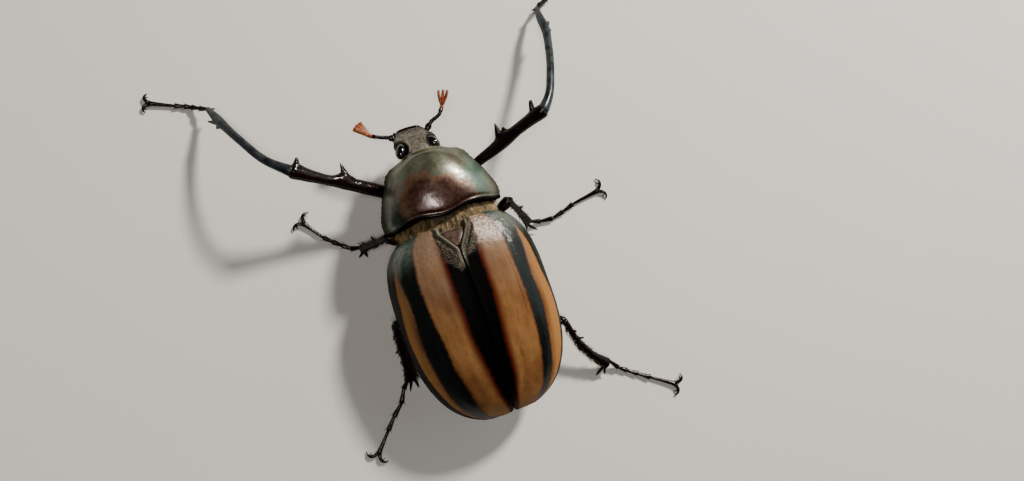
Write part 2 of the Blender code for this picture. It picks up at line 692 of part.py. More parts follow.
def toe_stations(ankle, toes):
    """Stations of the foot: each joint narrow at its root and wide at its end."""
    points = [ankle, *(Vector(toe if len(toe) == 3 else (*toe, FLOOR_FOOT_Z)) for toe in toes)]
    stations = []
    marks = ((0.06, TOE_NECK_RADIUS), (0.55, TOE_NECK_RADIUS * 1.2), (0.9, TOE_JOINT_RADIUS))
    for start, end in zip(points, points[1:]):
        direction = (end - start).normalized()
        for place, radius in marks:
            stations.append([start.lerp(end, place), direction, radius, radius])
    stations.append([points[-1], stations[-1][1], TOE_NECK_RADIUS, TOE_NECK_RADIUS])
    return stations


def claw(end, direction, side, scale):
    """Hooked claw with a tooth on its inner side."""
    across = Vector((-direction.y, direction.x, 0.0)) * side
    places = []
    for ahead, aside, high, radius in CLAW_MARKS:
        place = end + (direction * ahead + across * aside) * scale
        places.append(Vector((place.x, place.y, high)))
    stations = []
    for index, mark in enumerate(CLAW_MARKS):
        after = places[min(index + 1, len(places) - 1)]
        before = places[max(index - 1, 0)]
        stations.append((places[index], (after - before).normalized(), mark[3], mark[3]))
    hook = bmesh.new()
    loft(hook, tube_rings(stations, 6))
    tip = end + (direction * 0.2 + across * 1.65) * scale
    return [hook, spike(places[2], (tip.x, tip.y, 0.3), 0.2, 5)]


def coxa_taper(radii, extra):
    """Radii along a coxa: narrow inside, full in the middle, its own size at the hip."""
    middle, hip = radii
    marks = ((0.0, middle * 0.8), (0.4, middle), (1.0, hip))
    return tuple((place, radius + extra, radius + extra) for place, radius in marks)


def build_leg(name, leg, collection, shell, dark):
    """Coxa, femur, tibia and foot of one leg, each its own piece."""
    femur = route_points(leg.femur, 9)
    tibia = route_points(leg.tibia, 11)
    hip, hip_way = femur[0]
    hip_plane = ((hip - Vector(leg.coxa)).normalized() + hip_way).normalized()
    knee_plane = (femur[-1][1] + tibia[0][1]).normalized()
    ankle, ankle_way = tibia[-1]
    across = ankle_way.cross(Vector((0, 0, 1))).normalized()
    coxa_route, coxa_radii = (leg.coxa, tuple(hip)), coxa_taper(leg.coxa_radii, 0.0)
    pieces = [
        limb(f"coxa_{name}", coxa_route, coxa_radii, 12, 5, collection, dark, None, hip_plane),
        limb(f"femur_{name}", leg.femur, leg.femur_radii, 12, 11, collection, dark, hip_plane, knee_plane),
        limb(f"tibia_{name}", leg.tibia, leg.tibia_radii, 12, 11, collection, shell, knee_plane),
    ]
    spurs = []
    for offset, rise, tip in leg.spurs:
        root = ankle - ankle_way * SPUR_ROOT + across * offset + Vector((0, 0, rise))
        spurs.append(spike(root, tip, SPUR_RADIUS, 5))
    fuse(pieces[2], [*(spike(*tooth) for tooth in leg.tibia_teeth), *spurs])
    if leg.femur_teeth:
        fuse(pieces[1], [spike(*tooth) for tooth in leg.femur_teeth])
    heel = ankle + ankle_way * GAP + across * leg.foot_side
    stations = toe_stations(heel, leg.toes)
    stations[0][0] = heel
    stations[0][1] = ankle_way
    foot = loft_object(f"tarsus_{name}", tube_rings(stations, 8), collection, dark)
    end, direction = stations[-1][0], stations[-1][1]
    fuse(foot, [piece for side in (1, -1) for piece in claw(end, direction, side, leg.claw_scale)])
    cut_plane(foot, (0, 0, 0), (0, 0, -1))


def clear_channels(bodies, legs):
    """Cut room for the coxae and femora into the underside."""
    tools = new_collection("cutters")
    for name, leg in legs.items():
        inner = Vector(leg.coxa)
        hip = Vector(leg.femur[0])
        way = (hip - inner).normalized()
        behind = hip + (hip - Vector(leg.femur[1])).normalized() * HIP_ROOM
        femur = [(place, across + GAP, up + GAP) for place, across, up in leg.femur_radii]
        coxa = coxa_taper(leg.coxa_radii, GAP)
        limb(f"room_coxa_{name}", (inner - way * GAP, hip + way * HIP_ROOM), coxa, 12, 5, tools, None)
        limb(f"room_femur_{name}", (behind, *leg.femur[1:]), femur, 12, 11, tools, None)
    for body in bodies:
        apply_boolean(body, tools, "DIFFERENCE")
    drop_collection(tools)


def finish(collection):
    """Scale to metres, centre the object over its footprint and shade it smooth."""
    corners = [vert.co for item in collection.objects for vert in item.data.vertices]
    low = Vector(min(corner[axis] for corner in corners) for axis in range(3))
    high = Vector(max(corner[axis] for corner in corners) for axis in range(3))
    centre = Vector(((low.x + high.x) / 2, (low.y + high.y) / 2, 0.0))
    place = Matrix.Scale(MILLIMETRE, 4) @ Matrix.Translation(-centre)
    for item in collection.objects:
        item.data.transform(place)
        item.data.shade_smooth()
        item.data.set_sharp_from_angle(angle=math.radians(40))


def main():
    """Build the beetle."""
    clear_scene()
    parts = new_collection(OBJECT_NAME)
    made = {name: new_material(name) for name in MATERIALS}
    build_elytra(parts, made["wing_case"])
    build_pronotum(parts, made["bronze"])
    bodies = build_underbody(parts, made["brown_fur"], made["black_shell"])
    build_scutellum(parts, made["purple_shell"])
    build_head(parts, made["grey_shell"], made["eye"], made["black_shell"])
    for name, feeler in FEELERS.items():
        build_feeler(name, feeler, parts, made["black_shell"], made["feeler_leaf"])
    for name, leg in LEGS.items():
        shell = made["steel_shell"] if name.startswith("fore") else made["black_shell"]
        build_leg(name, leg, parts, shell, made["black_shell"])
    clear_channels(bodies, LEGS)
    finish(parts)


main()
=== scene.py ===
"""Looks of the long-armed scarab beetle: its shell plates, limbs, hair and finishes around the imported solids.

Shapes are drawn in millimetres in the beetle's own frame, as the solids are: the head points to -Y, the
beetle's left side is +X and the floor is z = 0. The bench turns each finished piece into the part's metres.
"""

import sys
import json
import logging
import math
import random
from collections.abc import Callable, Iterable, Sequence
from dataclasses import dataclass, field
from enum import Enum

import bmesh
import bpy
import numpy as np
from mathutils import Matrix, Vector, noise

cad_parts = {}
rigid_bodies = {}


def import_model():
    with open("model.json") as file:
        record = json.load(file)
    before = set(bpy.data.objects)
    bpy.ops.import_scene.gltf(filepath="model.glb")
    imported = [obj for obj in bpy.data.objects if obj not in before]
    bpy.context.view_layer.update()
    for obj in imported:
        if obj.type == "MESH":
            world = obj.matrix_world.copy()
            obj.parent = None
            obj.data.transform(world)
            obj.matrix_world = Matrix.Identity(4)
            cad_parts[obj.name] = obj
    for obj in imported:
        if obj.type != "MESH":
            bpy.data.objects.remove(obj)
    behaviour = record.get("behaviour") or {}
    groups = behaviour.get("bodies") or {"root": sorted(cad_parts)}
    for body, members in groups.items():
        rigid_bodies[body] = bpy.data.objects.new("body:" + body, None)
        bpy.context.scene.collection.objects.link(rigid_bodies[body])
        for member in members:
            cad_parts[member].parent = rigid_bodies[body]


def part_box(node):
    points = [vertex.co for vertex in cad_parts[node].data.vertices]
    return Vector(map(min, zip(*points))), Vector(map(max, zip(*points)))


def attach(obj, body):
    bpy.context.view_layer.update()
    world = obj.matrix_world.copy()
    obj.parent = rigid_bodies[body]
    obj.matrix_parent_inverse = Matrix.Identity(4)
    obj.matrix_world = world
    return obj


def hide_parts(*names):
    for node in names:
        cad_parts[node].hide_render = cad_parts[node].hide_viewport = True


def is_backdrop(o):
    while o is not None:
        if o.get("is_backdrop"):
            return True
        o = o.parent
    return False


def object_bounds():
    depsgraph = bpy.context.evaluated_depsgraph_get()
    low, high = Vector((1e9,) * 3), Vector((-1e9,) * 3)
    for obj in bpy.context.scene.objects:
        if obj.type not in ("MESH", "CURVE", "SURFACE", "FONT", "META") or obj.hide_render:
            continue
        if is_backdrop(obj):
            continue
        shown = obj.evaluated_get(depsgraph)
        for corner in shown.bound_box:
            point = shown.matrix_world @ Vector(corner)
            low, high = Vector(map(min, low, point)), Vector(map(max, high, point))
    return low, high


Piece = bpy.types.Object
Material = bpy.types.Material
Socket = bpy.types.NodeSocket
Colour = tuple[float, float, float, float]
Number = float | Socket
Ring = list[Vector]
Table = Sequence[Sequence[float]]

MILLIMETRE = 0.001
UP = Vector((0, 0, 1))
GAP = 0.3                # the solids keep this between two pieces
PRONOTUM_REAR_Y = -5.6   # ties the beetle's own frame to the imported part
TOE_Z = 0.52             # middle line of the toe joints that lie on the floor
FLOOR_CLEARANCE = 0.3    # bristles that would come nearer to the floor are left out
IMAGE_WIDTH = 1024
log = logging.getLogger("beetle")


class Side(Enum):
    """The two sides of the body; the value is the sign of X."""

    LEFT = 1
    RIGHT = -1

    @property
    def word(self) -> str:
        """Name used in the nodes of this side."""
        return self.name.lower()


def tint(red: int, green: int, blue: int) -> Colour:
    """Linear colour of a screen colour given from 0 to 255."""
    values = [value / 255.0 for value in (red, green, blue)]
    linear = [v / 12.92 if v <= 0.04045 else ((v + 0.055) / 1.055) ** 2.4 for v in values]
    return (linear[0], linear[1], linear[2], 1.0)


def along(points: Table, place: float) -> tuple[float, ...]:
    """Value at a place on a smooth curve through points.

    Args:
        points: rows of (place, value...), in rising order of place.
        place: where on the curve.
    Returns:
        The values there.
    """
    xs = np.array([point[0] for point in points], dtype=float)
    ys = np.array([point[1:] for point in points], dtype=float)
    slopes = np.gradient(ys, xs, axis=0)
    index = int(np.clip(np.searchsorted(xs, place) - 1, 0, len(xs) - 2))
    width = xs[index + 1] - xs[index]
    t = float(np.clip((place - xs[index]) / width, 0.0, 1.0))
    start = (2 * t**3 - 3 * t**2 + 1) * ys[index] + (t**3 - 2 * t**2 + t) * width * slopes[index]
    end = (3 * t**2 - 2 * t**3) * ys[index + 1] + (t**3 - t**2) * width * slopes[index + 1]
    return tuple((start + end).tolist())


class Profile:
    """Smooth curve through a table, sampled once so that it is quick to read at many points."""

    def __init__(self, points: Table, step: float = 0.05) -> None:
        """Sample the curve at even steps."""
        self.low, self.high = points[0][0], points[-1][0]
        count = int((self.high - self.low) / step) + 2
        self.step = (self.high - self.low) / (count - 1)
        self.rows = [along(points, self.low + self.step * index) for index in range(count)]

    def __call__(self, place: float) -> tuple[float, ...]:
        """Values at a place, held at both ends."""
        spot = (min(max(place, self.low), self.high) - self.low) / self.step
        index = min(int(spot), len(self.rows) - 2)
        share = spot - index
        return tuple(a + (b - a) * share for a, b in zip(self.rows[index], self.rows[index + 1]))


def rounded(angle: float, half_width: float, half_height: float, power: float) -> tuple[float, float]:
    """Point at an angle on a rounded-box outline; power 2 is an ellipse."""
    c, s = math.cos(angle), math.sin(angle)
    reach = (abs(c) ** power + abs(s) ** power) ** (-1.0 / power)
    return half_width * c * reach, half_height * s * reach


def bulge(distance: float, reach: float, power: float) -> float:
    """Falls from 1 at no distance to 0 at the full reach, as a rounded shoulder."""
    return (1.0 - min(1.0, abs(distance) / reach) ** power) ** (1.0 / power)


def ease(low: float, high: float, value: float) -> float:
    """Smooth step from 0 at low to 1 at high."""
    t = min(max((value - low) / (high - low), 0.0), 1.0)
    return t * t * (3 - 2 * t)


def ridge(distance: float, width: float) -> float:
    """Rounded ridge: 1 at no distance, near 0 at twice the width."""
    return math.exp(-(distance / width) ** 2)


def ripple(point: Sequence[float], size: float, seed: float = 0.0) -> float:
    """Smooth noise from -1 to 1 whose lumps are about as big as size, in millimetres."""
    return noise.noise(Vector(point) / size + Vector((seed, 2 * seed, 3 * seed)))


def route_points(route: Table, count: int) -> list[tuple[Vector, Vector]]:
    """Points and directions at even steps on a smooth curve through a route.

    Args:
        route: points in space.
        count: number of steps.
    Returns:
        Pairs of point and direction.
    """
    points = np.array(route, dtype=float)
    lengths = np.concatenate([[0.0], np.cumsum(np.linalg.norm(np.diff(points, axis=0), axis=1))])
    table = [(length, *point) for length, point in zip(lengths, points)]
    small = lengths[-1] * 0.001
    found = []
    for place in np.linspace(0.0, lengths[-1], count):
        ahead = along(table, min(place + small, lengths[-1]))
        behind = along(table, max(place - small, 0.0))
        found.append((Vector(along(table, place)), Vector(np.subtract(ahead, behind)).normalized()))
    return found


def level_across(way: Vector) -> Vector:
    """Level direction at right angles to a limb."""
    return way.cross(UP).normalized()


def section(point: Vector, way: Vector, across: float, up: float, sides: int, power: float = 2.0) -> Ring:
    """Ring of points round a limb.

    Args:
        point: middle of the ring.
        way: direction of the limb there.
        across, up: radii level with the floor and at right angles to that.
        sides: number of points.
        power: 2 for an oval, more for a boxier ring.
    Returns:
        The ring's points.
    """
    side = level_across(way)
    rise = side.cross(way)
    ring = []
    for step in range(sides):
        x, z = rounded(math.tau * step / sides, across, up, power)
        ring.append(point + side * x + rise * z)
    return ring


def put(name: str, data: bpy.types.ID) -> Piece:
    """New object for the data, linked to the scene."""
    item = bpy.data.objects.new(name, data)
    bpy.context.scene.collection.objects.link(item)
    return item


class Bench:
    """Finishes and modelling tools, used as by hand: a primitive, edit mode, modifiers, then it is set in place."""

    FACING = 0.25            # cosine from which a face looks the way that a tooth points
    CAP = ((0.7, 0.75), (1.0, 0.4))    # rings of a rounded end: share of its length, share of the radius

    def __init__(self) -> None:
        """Make the finishes, and find the beetle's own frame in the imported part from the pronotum's box."""
        self.finishes = {finish.name: finish.make() for finish in FINISHES}
        low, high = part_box("pronotum")
        middle = Vector(((low.x + high.x) / 2, high.y - PRONOTUM_REAR_Y * MILLIMETRE, 0.0))
        self.place = Matrix.Translation(middle) @ Matrix.Scale(MILLIMETRE, 4)

    def clear(self) -> None:
        """Leave edit mode and deselect everything."""
        if bpy.context.object and bpy.context.object.mode != "OBJECT":
            bpy.ops.object.mode_set(mode="OBJECT")
        bpy.ops.object.select_all(action="DESELECT")

    def pick(self, item: Piece) -> None:
        """Make one piece the selected and active one."""
        self.clear()
        item.select_set(True)
        bpy.context.view_layer.objects.active = item

    def edit(self, item: Piece) -> bmesh.types.BMesh:
        """Pick a piece and enter edit mode with nothing selected."""
        self.pick(item)
        bpy.ops.object.mode_set(mode="EDIT")
        bpy.ops.mesh.select_all(action="DESELECT")
        return bmesh.from_edit_mesh(item.data)

    def loft(self, name: str, rings: Sequence[Ring], levels: int = 0) -> Piece:
        """Extrude a circle from ring to ring and fill both ends.

        Args:
            name: name of the piece.
            rings: the rings' points, all of one count.
            levels: subdivision of the closed piece.
        Returns:
            The closed piece, with its normals out.
        """
        self.clear()
        bpy.ops.mesh.primitive_circle_add(vertices=len(rings[0]), radius=1.0)
        item = bpy.context.object
        item.name = item.data.name = name
        bpy.ops.object.mode_set(mode="EDIT")
        bpy.ops.mesh.select_all(action="SELECT")
        bm = bmesh.from_edit_mesh(item.data)
        spot = bm.verts.layers.int.new("spot")
        row = bm.verts.layers.int.new("row")
        for index, vert in enumerate(bm.verts):
            vert[spot] = index
            vert.co = rings[0][index]
        for number, ring in enumerate(rings[1:], 1):
            bpy.ops.mesh.extrude_region_move()
            bm = bmesh.from_edit_mesh(item.data)
            spot = bm.verts.layers.int["spot"]
            row = bm.verts.layers.int["row"]
            for vert in bm.verts:
                if vert.select:
                    vert.co = ring[vert[spot]]
                    vert[row] = number
        bpy.ops.mesh.edge_face_add()
        for vert in bm.verts:
            vert.select = vert[row] == 0
        bm.select_flush_mode()
        for edge in bm.edges:
            edge.select = edge.verts[0].select and edge.verts[1].select
        bpy.ops.mesh.edge_face_add()
        bpy.ops.mesh.select_all(action="SELECT")
        bpy.ops.mesh.normals_make_consistent(inside=False)
        bpy.ops.object.mode_set(mode="OBJECT")
        for layer in ("spot", "row"):
            item.data.attributes.remove(item.data.attributes[layer])
        return self.soften(item, levels) if levels else item

    def draw_out(self, item: Piece, root: Vector, tip: Vector, reach: float, steps: Table) -> None:
        """Pull a tooth out of the faces round a point of the surface.

        Args:
            item: the piece, before it is subdivided.
            root: point inside the limb under the tooth.
            tip: end of the tooth.
            reach: how far the tooth's foot spreads over the faces.
            steps: rows of (share of the way, share of the width).
        """
        bm = self.edit(item)
        way = (tip - root).normalized()
        front = [face for face in bm.faces if face.normal.dot(way) > self.FACING]
        foot = min(front, key=lambda face: (face.calc_center_median() - root).cross(way).length)
        centre = foot.calc_center_median()
        for face in front:
            if (face.calc_center_median() - centre).length < reach:
                face.select = True
        foot.select = True
        bpy.ops.mesh.extrude_region_move()
        bm = bmesh.from_edit_mesh(item.data)
        verts = [vert for vert in bm.verts if vert.select]
        middle = sum((vert.co for vert in verts), Vector()) / len(verts)
        base = [vert.co - middle for vert in verts]
        for number, (share, width) in enumerate(steps):
            if number:
                bpy.ops.mesh.extrude_region_move()
                bm = bmesh.from_edit_mesh(item.data)
                verts = [vert for vert in bm.verts if vert.select]
            for vert, offset in zip(verts, base):
                flat = offset - way * (offset.dot(way) * share)
                vert.co = middle.lerp(tip, share) + flat * width
        bpy.ops.object.mode_set(mode="OBJECT")

    def modify(self, item: Piece, kind: str, **settings: object) -> None:
        """Give a piece one modifier and apply it."""
        self.pick(item)
        modifier = item.modifiers.new("shape", kind)
        for key, value in settings.items():
            setattr(modifier, key, value)
        bpy.ops.object.modifier_apply(modifier=modifier.name)

    def soften(self, item: Piece, levels: int) -> Piece:
        """Subdivide a piece smoothly."""
        self.modify(item, "SUBSURF", levels=levels, render_levels=levels)
        return item

    def limb(self, name: str, route: Table, radii: Table, sides: int = 12, count: int = 10,
             levels: int = 1, power: float = 2.0, ends: tuple[float, float] = (0.5, 0.5)) -> Piece:
        """Tapered limb along a route, with rounded ends.

        Args:
            name: name of the piece.
            route: points of its middle line.
            radii: rows of (share of the length, radius across, radius up).
            sides, count: points in a ring and number of rings.
            levels: subdivision.
            power: boxiness of the rings.
            ends: how far each end is rounded off, as a share of its radius.
        Returns:
            The limb.
        """
        found = route_points(route, count)
        rings = []
        for index, (point, way) in enumerate(found):
            across, up = along(radii, index / (count - 1))
            if index == 0 and ends[0]:
                cap = way * across * ends[0]
                rings += [section(point - cap * share, way, across * wide, up * wide, sides, power)
                          for share, wide in reversed(self.CAP)]
            rings.append(section(point, way, across, up, sides, power))
            if index == count - 1 and ends[1]:
                cap = way * across * ends[1]
                rings += [section(point + cap * share, way, across * wide, up * wide, sides, power)
                          for share, wide in self.CAP]
        return self.loft(name, rings, levels)

    def shift(self, item: Piece, rule: Callable[[Vector, Vector], Vector | float]) -> None:
        """Work the surface: move each point along its normal, or by an offset.

        Args:
            item: the piece, in millimetres.
            rule: gives the move, in millimetres, from a point and its normal.
        """
        mesh = item.data
        points = [vert.co.copy() for vert in mesh.vertices]
        normals = [normal.vector.copy() for normal in mesh.vertex_normals]
        for vert, point, normal in zip(mesh.vertices, points, normals):
            move = rule(point, normal)
            vert.co = point + (move if isinstance(move, Vector) else normal * move)
        mesh.update()

    def paint(self, item: Piece, name: str, rule: Callable[[Vector], float]) -> None:
        """Give each point of a piece a number that its finish reads."""
        values = [float(rule(vert.co)) for vert in item.data.vertices]
        layer = item.data.attributes.new(name, "FLOAT", "POINT")
        layer.data.foreach_set("value", values)

    def join(self, name: str, items: Sequence[Piece]) -> Piece:
        """Make one piece of several."""
        self.pick(items[0])
        for item in items:
            item.select_set(True)
        bpy.ops.object.join()
        items[0].name = items[0].data.name = name
        return items[0]

    def set_down(self, item: Piece, finish: str, nodes: Iterable[str] = (), crease: float = 50.0) -> Piece:
        """Bring a finished piece into the part's frame, dress it and fix it to the body.

        Args:
            item: the piece, in millimetres.
            finish: name of its finish.
            nodes: the solids that it stands for.
            crease: angle in degrees from which an edge stays sharp.
        Returns:
            The piece.
        """
        item.data.transform(self.place)
        item.data.materials.clear()
        item.data.materials.append(self.finishes[finish])
        self.pick(item)
        bpy.ops.object.shade_smooth_by_angle(angle=math.radians(crease))
        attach(item, "root")
        if nodes:
            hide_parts(*nodes)
        log.info("%s: %d faces", item.name, len(item.data.polygons))
        return item


class Recipe:
    """Lays down the nodes of one finish."""

    def __init__(self, name: str) -> None:
        """Start from a plain shader."""
        self.material = bpy.data.materials.new(name)
        self.material.use_nodes = True
        self.tree = self.material.node_tree
        self.shader = self.tree.nodes["Principled BSDF"]

    def add(self, kind: str, inputs: dict[str | int, object], **settings: object) -> bpy.types.Node:
        """Add a node with its settings, and link or set its inputs."""
        node = self.tree.nodes.new(kind)
        for key, value in settings.items():
            setattr(node, key, value)
        for key, value in inputs.items():
            self.feed(node.inputs[key], value)
        return node

    def feed(self, socket: Socket, value: object) -> None:
        """Link another node's output to a socket, or set it to a value."""
        if isinstance(value, Socket):
            self.tree.links.new(value, socket)
        else:
            socket.default_value = value

    def space(self, stretch: Sequence[float] = (1, 1, 1)) -> Socket:
        """Object coordinates, stretched."""
        place = self.add("ShaderNodeTexCoord", {}).outputs["Object"]
        return self.add("ShaderNodeMapping", {"Vector": place, "Scale": stretch}).outputs[0]

    def value(self, name: str) -> Socket:
        """Number painted on the piece."""
        return self.add("ShaderNodeAttribute", {}, attribute_name=name).outputs["Fac"]

    def grain(self, size: float, detail: float, rough: float = 0.5,
              stretch: Sequence[float] = (1, 1, 1)) -> Socket:
        """Noise from 0 to 1 with lumps of a size in millimetres."""
        inputs = {"Vector": self.space(stretch), "Scale": 1.0 / (size * MILLIMETRE), "Detail": detail,
                  "Roughness": rough}
        return self.add("ShaderNodeTexNoise", inputs).outputs["Fac"]

    def cells(self, size: float) -> Socket:
        """Distance from the nearest of many scattered points, 0 at a point; size in millimetres."""
        inputs = {"Vector": self.space(), "Scale": 1.0 / (size * MILLIMETRE)}
        return self.add("ShaderNodeTexVoronoi", inputs).outputs["Distance"]

    def spread(self, value: Number, low: float, high: float, start: float = 0.0,
               end: float = 1.0) -> Socket:
        """Map a range of numbers onto another, held at both ends."""
        inputs = {"Value": value, "From Min": low, "From Max": high, "To Min": start, "To Max": end}
        return self.add("ShaderNodeMapRange", inputs, interpolation_type="SMOOTHSTEP").outputs["Result"]

    def sum(self, operation: str, first: Number, second: Number) -> Socket:
        """One step of arithmetic."""
        return self.add("ShaderNodeMath", {0: first, 1: second}, operation=operation).outputs[0]

    def blend(self, share: Number, first: object, second: object) -> Socket:
        """Mix two colours."""
        return self.add("ShaderNodeMix", {0: share, 6: first, 7: second}, data_type="RGBA").outputs[2]

    def bump(self, height: Number, depth: float, below: Socket | None = None) -> Socket:
        """Raise the surface by a height pattern; depth in millimetres."""
        inputs = {"Height": height, "Distance": depth * MILLIMETRE}
        if below:
            inputs["Normal"] = below
        return self.add("ShaderNodeBump", inputs).outputs["Normal"]

    def finish(self, colour: object, rough: object, normal: Socket,
               **others: object) -> Material:
        """Join everything to the shader.

        Args:
            colour: the base colour or its socket.
            rough: the roughness or its socket.
            normal: the bumped normal.
            others: values or sockets for the shader's other inputs, by name with _ for a space.
        Returns:
            The material.
        """
        others |= {"Base_Color": colour, "Roughness": rough, "Normal": normal, "Coat_Normal": normal}
        for key, value in others.items():
            self.feed(self.shader.inputs[key.replace("_", " ")], value)
        return self.material


@dataclass(frozen=True)
class WingCaseFinish:
    """Tan stripes on green-black, punctured and finely streaked; teal shoulders and a bronze patch; a painted paler
    sheen towards the front and a painted highlight on the bead beside the scutellum.
    """

    name: str = "wing_case"
    tan_light: Colour = tint(150, 108, 66)
    tan_dark: Colour = tint(108, 70, 38)
    tan_brown: Colour = tint(66, 36, 18)
    tan_gold: Colour = tint(164, 114, 62)
    tan_front_sheen: Colour = tint(134, 112, 94)
    fringe: Colour = tint(70, 20, 8)
    black: Colour = tint(1, 1, 1)
    green: Colour = tint(5, 9, 8)
    teal: Colour = tint(60, 84, 74)
    bronze: Colour = tint(122, 112, 84)
    soil: Colour = tint(14, 12, 8)
    bead_highlight: Colour = tint(132, 130, 116)

    def make(self) -> Material:
        """Lay down the nodes; the stripes come from distances painted on the wing cases."""
        r = Recipe(self.name)
        wobble = r.spread(r.grain(0.8, 3), 0.25, 0.75, -0.12, 0.12)
        inside = r.sum("ADD", r.value("tan"), wobble)
        tan = r.blend(r.spread(r.grain(6.0, 4, 0.6, (1, 0.45, 1)), 0.32, 0.7), self.tan_light, self.tan_dark)
        # painted sheen: the tan turns paler and greyer towards the front
        tan = r.blend(r.sum("MULTIPLY", r.value("front"), 0.75), tan, self.tan_front_sheen)
        tan = r.blend(r.value("side"), tan, self.tan_gold)
        streak = r.spread(r.grain(0.5, 4, 0.6, (1, 0.06, 1)), 0.52, 0.8, 0.0, 0.4)
        tan = r.blend(streak, tan, self.tan_dark)
        line = r.spread(r.grain(1.3, 2, 0.5, (1, 0.035, 1)), 0.62, 0.72, 0.0, 0.35)
        tan = r.blend(line, tan, self.tan_brown)
        speck = r.spread(r.grain(0.45, 2), 0.68, 0.77, 0.0, 0.5)
        tan = r.blend(speck, tan, self.tan_brown)
        tan = r.blend(r.spread(r.grain(0.2, 3, 0.7), 0.45, 0.7, 0.0, 0.3), tan, self.tan_brown)
        tan = r.blend(r.spread(inside, 0.0, 0.5, 0.6, 0.0), tan, self.fringe)
        tan = r.blend(r.spread(r.value("inner"), 0.0, 0.07, 1.0, 0.0), tan, self.fringe)
        dark = r.blend(r.spread(r.grain(1.6, 4), 0.35, 0.75), self.black, self.green)
        dark = r.blend(r.spread(r.value("inner"), -0.02, 0.02, 1.0, 0.0), dark, self.black)
        glint = r.sum("MULTIPLY", r.value("shoulder"), r.spread(r.grain(0.5, 4, 0.65), 0.3, 0.6))
        dark = r.blend(glint, dark, self.teal)
        colour = r.blend(r.spread(inside, -0.3, 0.25), dark, tan)
        fleck = r.spread(r.grain(0.16, 3, 0.7, (1, 0.6, 1)), 0.5, 0.66)
        patch = r.blend(fleck, self.soil, self.bronze)
        colour = r.blend(r.spread(r.value("patch"), 0.1, 0.8, 0.0, 0.95), colour, patch)
        # painted highlight: the bead beside the scutellum turns silvery, more on the left
        colour = r.blend(r.value("lit_seam_bead"), colour, self.bead_highlight)
        colour = r.blend(r.value("rim"), colour, self.black)
        rough = r.spread(r.value("coarse"), 0.0, 1.0, 0.44, 0.27)
        rough = r.sum("ADD", rough, r.spread(r.grain(0.5, 3), 0.3, 0.7, -0.04, 0.05))
        rough = r.sum("ADD", rough, r.sum("MULTIPLY", r.value("lit_seam_bead"), -0.14))
        pits = r.spread(r.cells(0.3), 0.05, 0.5)
        grit = r.sum("MULTIPLY", r.grain(0.14, 2), r.sum("ADD", r.value("coarse"), 0.2))
        normal = r.bump(pits, 0.01)
        normal = r.bump(grit, 0.06, normal)
        normal = r.bump(r.grain(1.4, 4, 0.6), 0.025, normal)
        flank = r.sum("MULTIPLY", r.spread(inside, -0.3, 0.25, 0.14, 0.02), r.spread(r.value("inner"), 0.0, 0.12))
        flank = r.sum("MULTIPLY", flank, r.spread(r.value("side"), 0.0, 1.0, 1.0, 0.1))
        wet = r.sum("MULTIPLY", r.spread(r.value("coarse"), 0.0, 1.0, 0.0, 0.4),
                    r.spread(r.value("patch"), 0.1, 0.6, 1.0, 0.15))
        gloss = r.sum("ADD", flank, wet)
        return r.finish(colour, rough, normal, Specular_IOR_Level=0.04, Coat_Roughness=0.28, Coat_IOR=3.0,
                        Coat_Weight=gloss)


@dataclass(frozen=True)
class BronzeFinish:
    """Metallic bronze-green shield, maroon in its middle, with black beads, a teal sheen and painted shade at the left
    rear and lower flanks.
    """

    name: str = "bronze_shell"
    green: Colour = tint(104, 108, 92)
    olive: Colour = tint(78, 76, 58)
    copper: Colour = tint(118, 88, 66)
    maroon: Colour = tint(54, 12, 10)
    teal: Colour = tint(96, 126, 112)
    shade: Colour = tint(34, 34, 22)
    bead: Colour = tint(8, 5, 5)
    rim: Colour = tint(120, 112, 80)

    def make(self) -> Material:
        """Lay down the nodes; the middle, sheen, beads and front rim are painted on the shield."""
        r = Recipe(self.name)
        colour = r.blend(r.spread(r.grain(3.0, 4, 0.6), 0.3, 0.7), self.olive, self.green)
        colour = r.blend(r.sum("MULTIPLY", r.value("shade"), 0.75), colour, self.shade)
        middle = r.value("middle")
        colour = r.blend(r.spread(middle, 0.0, 0.3, 0.0, 0.9), colour, self.copper)
        veil = r.spread(r.grain(0.9, 5, 0.7), 0.25, 0.62, 0.5, 1.0)
        colour = r.blend(r.sum("MULTIPLY", r.spread(middle, 0.22, 0.85), veil), colour, self.maroon)
        colour = r.blend(r.sum("MULTIPLY", r.value("sheen"), 0.8), colour, self.teal)
        dust = r.spread(r.grain(0.22, 3, 0.7), 0.4, 0.65, 0.0, 0.45)
        colour = r.blend(dust, colour, self.shade)
        colour = r.blend(r.value("bead"), colour, self.bead)
        colour = r.blend(r.value("rim"), colour, self.rim)
        rough = r.spread(r.grain(0.6, 3), 0.3, 0.7, 0.34, 0.42)
        normal = r.bump(r.spread(r.cells(0.2), 0.05, 0.45), 0.003)
        normal = r.bump(r.grain(0.12, 2), 0.004, normal)
        normal = r.bump(r.grain(1.0, 4, 0.6), 0.02, normal)
        polish = r.sum("MULTIPLY", r.spread(r.value("flank"), 0.0, 1.0, 0.3, 0.05),
                       r.spread(r.value("bead"), 0.0, 1.0, 1.0, 0.2))
        return r.finish(colour, rough, normal, Metallic=0.5, Coat_Weight=polish, Coat_Roughness=0.22, Coat_IOR=3.5,
                        Specular_IOR_Level=0.0, Specular_Tint=tint(130, 136, 124))


